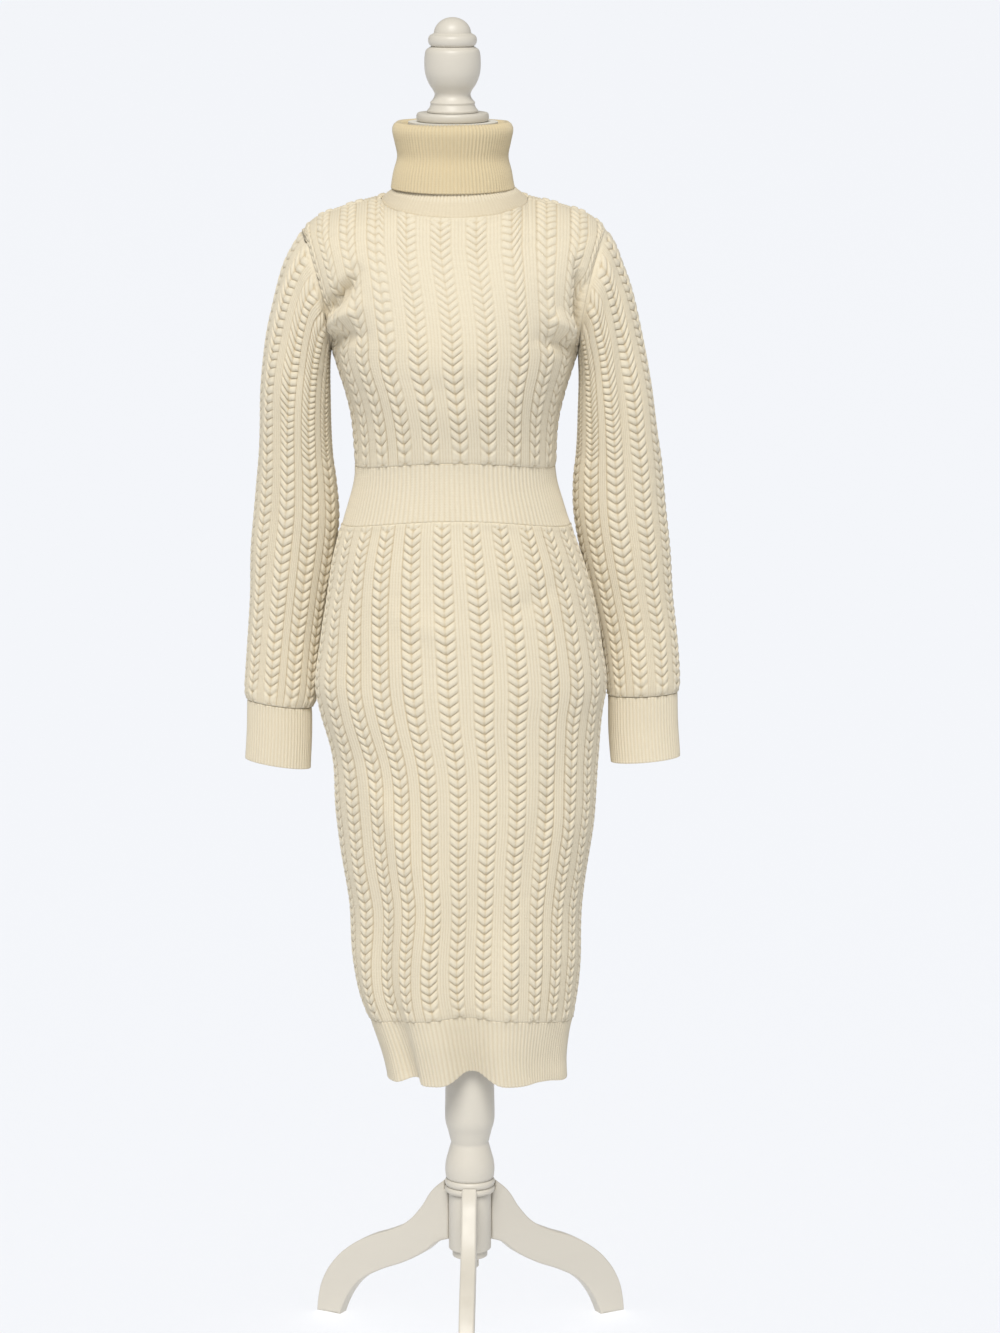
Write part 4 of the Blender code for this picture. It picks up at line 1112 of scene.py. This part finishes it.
# the form's sections: middle, half width, two depths and height, with the bottom's edge rounded
def formSections():
    keys, values = [line[0] for line in skirtTable], [line[1:] for line in skirtTable]
    ovals = [(*readTable(keys, values, np.array(z)), z) for z in form["heights"]]
    ovals = [(x, half - form["clear"], front - form["clear"], back - form["clear"], z)
             for x, half, front, back, z in ovals]
    for angle, edgeZ, half, wrap, frontZ, frontDepth, backZ, backDepth in bodiceTable[1:6]:
        if angle:
            half, edgeZ = form["underarm"]
        ovals.append((bodyX, half - form["clear"], frontDepth - form["clear"] - form["bust"],
                      backDepth - form["clear"], edgeZ))
    ovals += [(*line[1:], line[0]) for line in shoulderTable]
    x, half, front, back, z = ovals[0]
    rim = form["rim"]
    return np.array([(x, half - rim, front - rim, back - rim, form["bottom"])] + ovals)


def makeTorso():
    ovals = formSections()
    rows = readTable(range(len(ovals)), ovals, np.linspace(0, len(ovals) - 1, form["rows"]))
    mesh = bmesh.new()
    bmesh.ops.create_grid(mesh, x_segments=form["around"], y_segments=form["rows"] - 1, size=0.5)
    mesh.verts.ensure_lookup_table()
    for i, (x, half, front, back, z) in enumerate(rows):
        for j in range(form["around"] + 1):
            turn = 2 * pi * j / form["around"]
            depth = front if sin(turn) < 0 else back
            place = (x + half * cos(turn), depth * sin(turn), z)
            mesh.verts[i * (form["around"] + 1) + j].co = place + pole
    bmesh.ops.remove_doubles(mesh, verts=mesh.verts, dist=0.000008)
    bmesh.ops.holes_fill(mesh, edges=[edge for edge in mesh.edges if edge.is_boundary])
    piece = finishPiece(mesh, "torso_cover", "torso", makeCover(), 60)
    print("torso made,", len(piece.data.polygons), "faces")


makeTorso()

# turned pieces: outlines of radius and height from the top down, named by CAD node
turned = {
    "steps": 96,
    "finialDome": (0.0212, 1.5440), "finialTop": 1.5630,
    "finialRing": (0.0277, 1.5371), "finialRingRound": (0.0045, 0.0066),
    "finialVase": [(0.0262, 1.5292), (0.0306, 1.5250), (0.0320, 1.5130), (0.0311, 1.5000),
                   (0.0272, 1.4888), (0.0222, 1.4810), (0.0204, 1.4763), (0.0218, 1.4718),
                   (0.0256, 1.4672)],
    "finialFoot": [(0.0250, 1.4648), (0.0264, 1.4612), (0.0290, 1.4582), (0.0290, 1.4563)],
    "plate": (0.0413, 1.4557, 1.4460), "plateRound": 0.0025,
    "post": [(0.0235, 0.7447), (0.0235, 0.7000), (0.0255, 0.5500), (0.0275, 0.4000), (0.0288, 0.3100),
             (0.0293, 0.2800), (0.0287, 0.2680), (0.0256, 0.2565), (0.0228, 0.2450)],
    "postNeck": (0.0220, 0.2428),
    "postVase": [(0.0226, 0.2405), (0.0250, 0.2320), (0.0282, 0.2200), (0.0292, 0.2100),
                 (0.0286, 0.2010)],
    "postFoot": (0.0270, 0.1988),
    "collar": (0.1985, 0.1895, 0.1815), "collarRound": (0.0296, 0.0035),
    "rods": {"hub": (0.0251, 0.1812, 0.1115), "hub_nut": (0.0208, 0.1112, 0.1022),
             "hub_bolt": (0.0105, 0.1019, 0.0885)},
    "rodEdge": 0.0012,
}


# points on an elliptical arc in the outline's plane, in degrees from the outside
def arcPoints(radius, z, reach, height, start, end, steps=14):
    turns = [radians(start + (end - start) * i / steps) for i in range(steps + 1)]
    return [(radius + reach * cos(turn), z + height * sin(turn)) for turn in turns]


# a smooth run through an outline's points
def smoothRun(points, steps=6):
    at = np.linspace(0, len(points) - 1, (len(points) - 1) * steps + 1)
    return [tuple(point) for point in readTable(range(len(points)), points, at).tolist()]


def makeTurned(node, outline, material, x=0.0):
    mesh = bmesh.new()
    outline = [(0.0, outline[0][1])] + outline + [(0.0, outline[-1][1])]
    line = [mesh.verts.new((pole[0] + x + radius, pole[1], z)) for radius, z in outline]
    edges = [mesh.edges.new(pair) for pair in zip(line, line[1:])]
    bmesh.ops.spin(mesh, geom=line + edges, cent=(pole[0] + x, pole[1], 0), axis=(0, 0, 1),
                   angle=2 * pi, steps=turned["steps"], use_merge=True)
    finishPiece(mesh, f"{node}_turned", node, material, 35)


def makeTurnedPieces(material):
    radius, z = turned["finialDome"]
    ringRadius, ringZ = turned["finialRing"]
    ringRound, ringHalf = turned["finialRingRound"]
    finial = arcPoints(0, z, radius, turned["finialTop"] - z, 88, 4)
    finial += arcPoints(ringRadius - ringRound, ringZ, ringRound, ringHalf, 84, -84)
    finial += smoothRun(turned["finialVase"]) + turned["finialFoot"]
    makeTurned("finial", finial, material, neckX)
    radius, top, bottom = turned["plate"]
    edge = turned["plateRound"]
    plate = arcPoints(radius - edge, (top + bottom) / 2, edge, (top - bottom) / 2, 90, -90)
    makeTurned("neck_plate", plate, material, neckX)
    post = smoothRun(turned["post"]) + [turned["postNeck"]] + smoothRun(turned["postVase"])
    makeTurned("post", post + [turned["postFoot"]], material)
    top, groove, bottom = turned["collar"]
    radius, edge = turned["collarRound"]
    collar = arcPoints(radius - edge, (top + groove) / 2, edge, (top - groove) / 2, 90, -80)
    collar += arcPoints(radius - edge, (groove + bottom) / 2, edge, (groove - bottom) / 2, 80, -90)
    makeTurned("ring_collar", collar, material)
    edge = turned["rodEdge"]
    for node, (radius, top, bottom) in turned["rods"].items():
        rod = arcPoints(radius - edge, top - edge, edge, edge, 90, 0, 5)
        rod += arcPoints(radius - edge, bottom + edge, edge, edge, 0, -90, 5)
        makeTurned(node, rod, material)
    print("turned pieces made")


makeTurnedPieces(makePaint("turnedPaint", (1.0, 1.0, 9.0)))

legs = {
    "thick": 0.018,
    "round": 0.0024,
    "angles": {"leg_front": -91, "leg_back_right": 30, "leg_back_left": 150},
    # reach from the pole's axis, height, and whether the outline turns sharply there
    "outline": [
        (0.0255, 0.1200, True), (0.0255, 0.1811, True), (0.0304, 0.1811, True), (0.0304, 0.1930, True),
        (0.0480, 0.1770, False), (0.0640, 0.1530, False), (0.0840, 0.1315, False),
        (0.1080, 0.1178, False), (0.1380, 0.1048, False), (0.1630, 0.0895, False),
        (0.1860, 0.0680, False), (0.2030, 0.0400, False), (0.2090, 0.0170, False),
        (0.2108, 0.0000, True), (0.1785, 0.0000, True), (0.1750, 0.0090, False),
        (0.1640, 0.0300, False), (0.1480, 0.0485, False), (0.1210, 0.0655, False),
        (0.0870, 0.0812, False), (0.0600, 0.0975, False), (0.0400, 0.1140, False),
    ],
}


# a flat board cut to the leg's curve, its edges rounded over
def makeLeg(node, angle):
    curve = bpy.data.curves.new(node, "CURVE")
    curve.dimensions = "2D"
    curve.fill_mode = "BOTH"
    curve.extrude = legs["thick"] / 2 - legs["round"]
    curve.bevel_depth = legs["round"]
    curve.bevel_resolution = 4
    curve.offset = -legs["round"]
    spline = curve.splines.new("BEZIER")
    spline.bezier_points.add(len(legs["outline"]) - 1)
    spline.use_cyclic_u = True
    spline.resolution_u = 10
    for knot, (reach, z, corner) in zip(spline.bezier_points, legs["outline"]):
        knot.co = (reach, z, 0)
        knot.handle_left_type = "VECTOR" if corner else "AUTO"
        knot.handle_right_type = knot.handle_left_type
    board = addObject(node, curve)
    shape = board.to_mesh()
    mesh = bmesh.new()
    mesh.from_mesh(shape)
    board.to_mesh_clear()
    bpy.data.objects.remove(board)
    stand = Matrix.Translation(Vector(pole)) @ Matrix.Rotation(radians(angle), 4, "Z")
    mesh.transform(stand @ Matrix.Rotation(pi / 2, 4, "X"))
    material = makePaint(f"{node}Paint", (0.12, 1.0, 1.0), angle)
    finishPiece(mesh, f"{node}_board", node, material, 40)


for node, angle in legs["angles"].items():
    makeLeg(node, angle)
print("legs made")

stage = {
    "floor": (0.800, 0.812, 0.840),
    "floorRoughness": 0.9,
    "floorShine": 0.1,
    "size": 120.0,
    "sky": (0.975, 0.985, 1.0),
    "skyStrength": 0.30,
    "key": 2.75,
    "keyColour": (1.0, 0.985, 0.955),
    "keySoftness": 30,
    "keyAngle": (38, 0, -6),       # tipped back from straight above, then turned about Z
    "floorLight": 2.68,            # falls on the floor alone, so that it stays even
}


def addSun(name, power, colour, softness, angles, lit):
    light = bpy.data.lights.new(name, "SUN")
    light.energy = power
    light.color = colour
    light.angle = radians(softness)
    sun = addObject(name, light)
    sun.rotation_euler = [radians(part) for part in angles]
    group = bpy.data.collections.new(f"{name}_lit")
    for item in lit:
        group.objects.link(item)
    sun.light_linking.receiver_collection = group
    return light


def makeStage():
    pieces = [item for item in bpy.context.scene.objects if item.type == "MESH"]
    mesh = bmesh.new()
    bmesh.ops.create_grid(mesh, x_segments=1, y_segments=1, size=stage["size"] / 2)
    material, _, shader = newMaterial("floorPaint", stage["floor"], stage["floorRoughness"])
    shader.inputs["Specular IOR Level"].default_value = stage["floorShine"]
    floor = addMesh("floor", mesh, material)
    world = bpy.data.worlds.new("studio")
    bpy.context.scene.world = world
    world.use_nodes = True
    sky = world.node_tree.nodes["Background"]
    sky.inputs["Color"].default_value = (*stage["sky"], 1)
    sky.inputs["Strength"].default_value = stage["skyStrength"]
    addSun("key", stage["key"], stage["keyColour"], stage["keySoftness"], stage["keyAngle"], pieces)
    even = addSun("floor_light", stage["floorLight"], (1, 1, 1), 0, (0, 0, 0), [floor])
    even.use_shadow = False
    bpy.context.scene.view_settings.view_transform = "Standard"
    print("stage made")


makeStage()
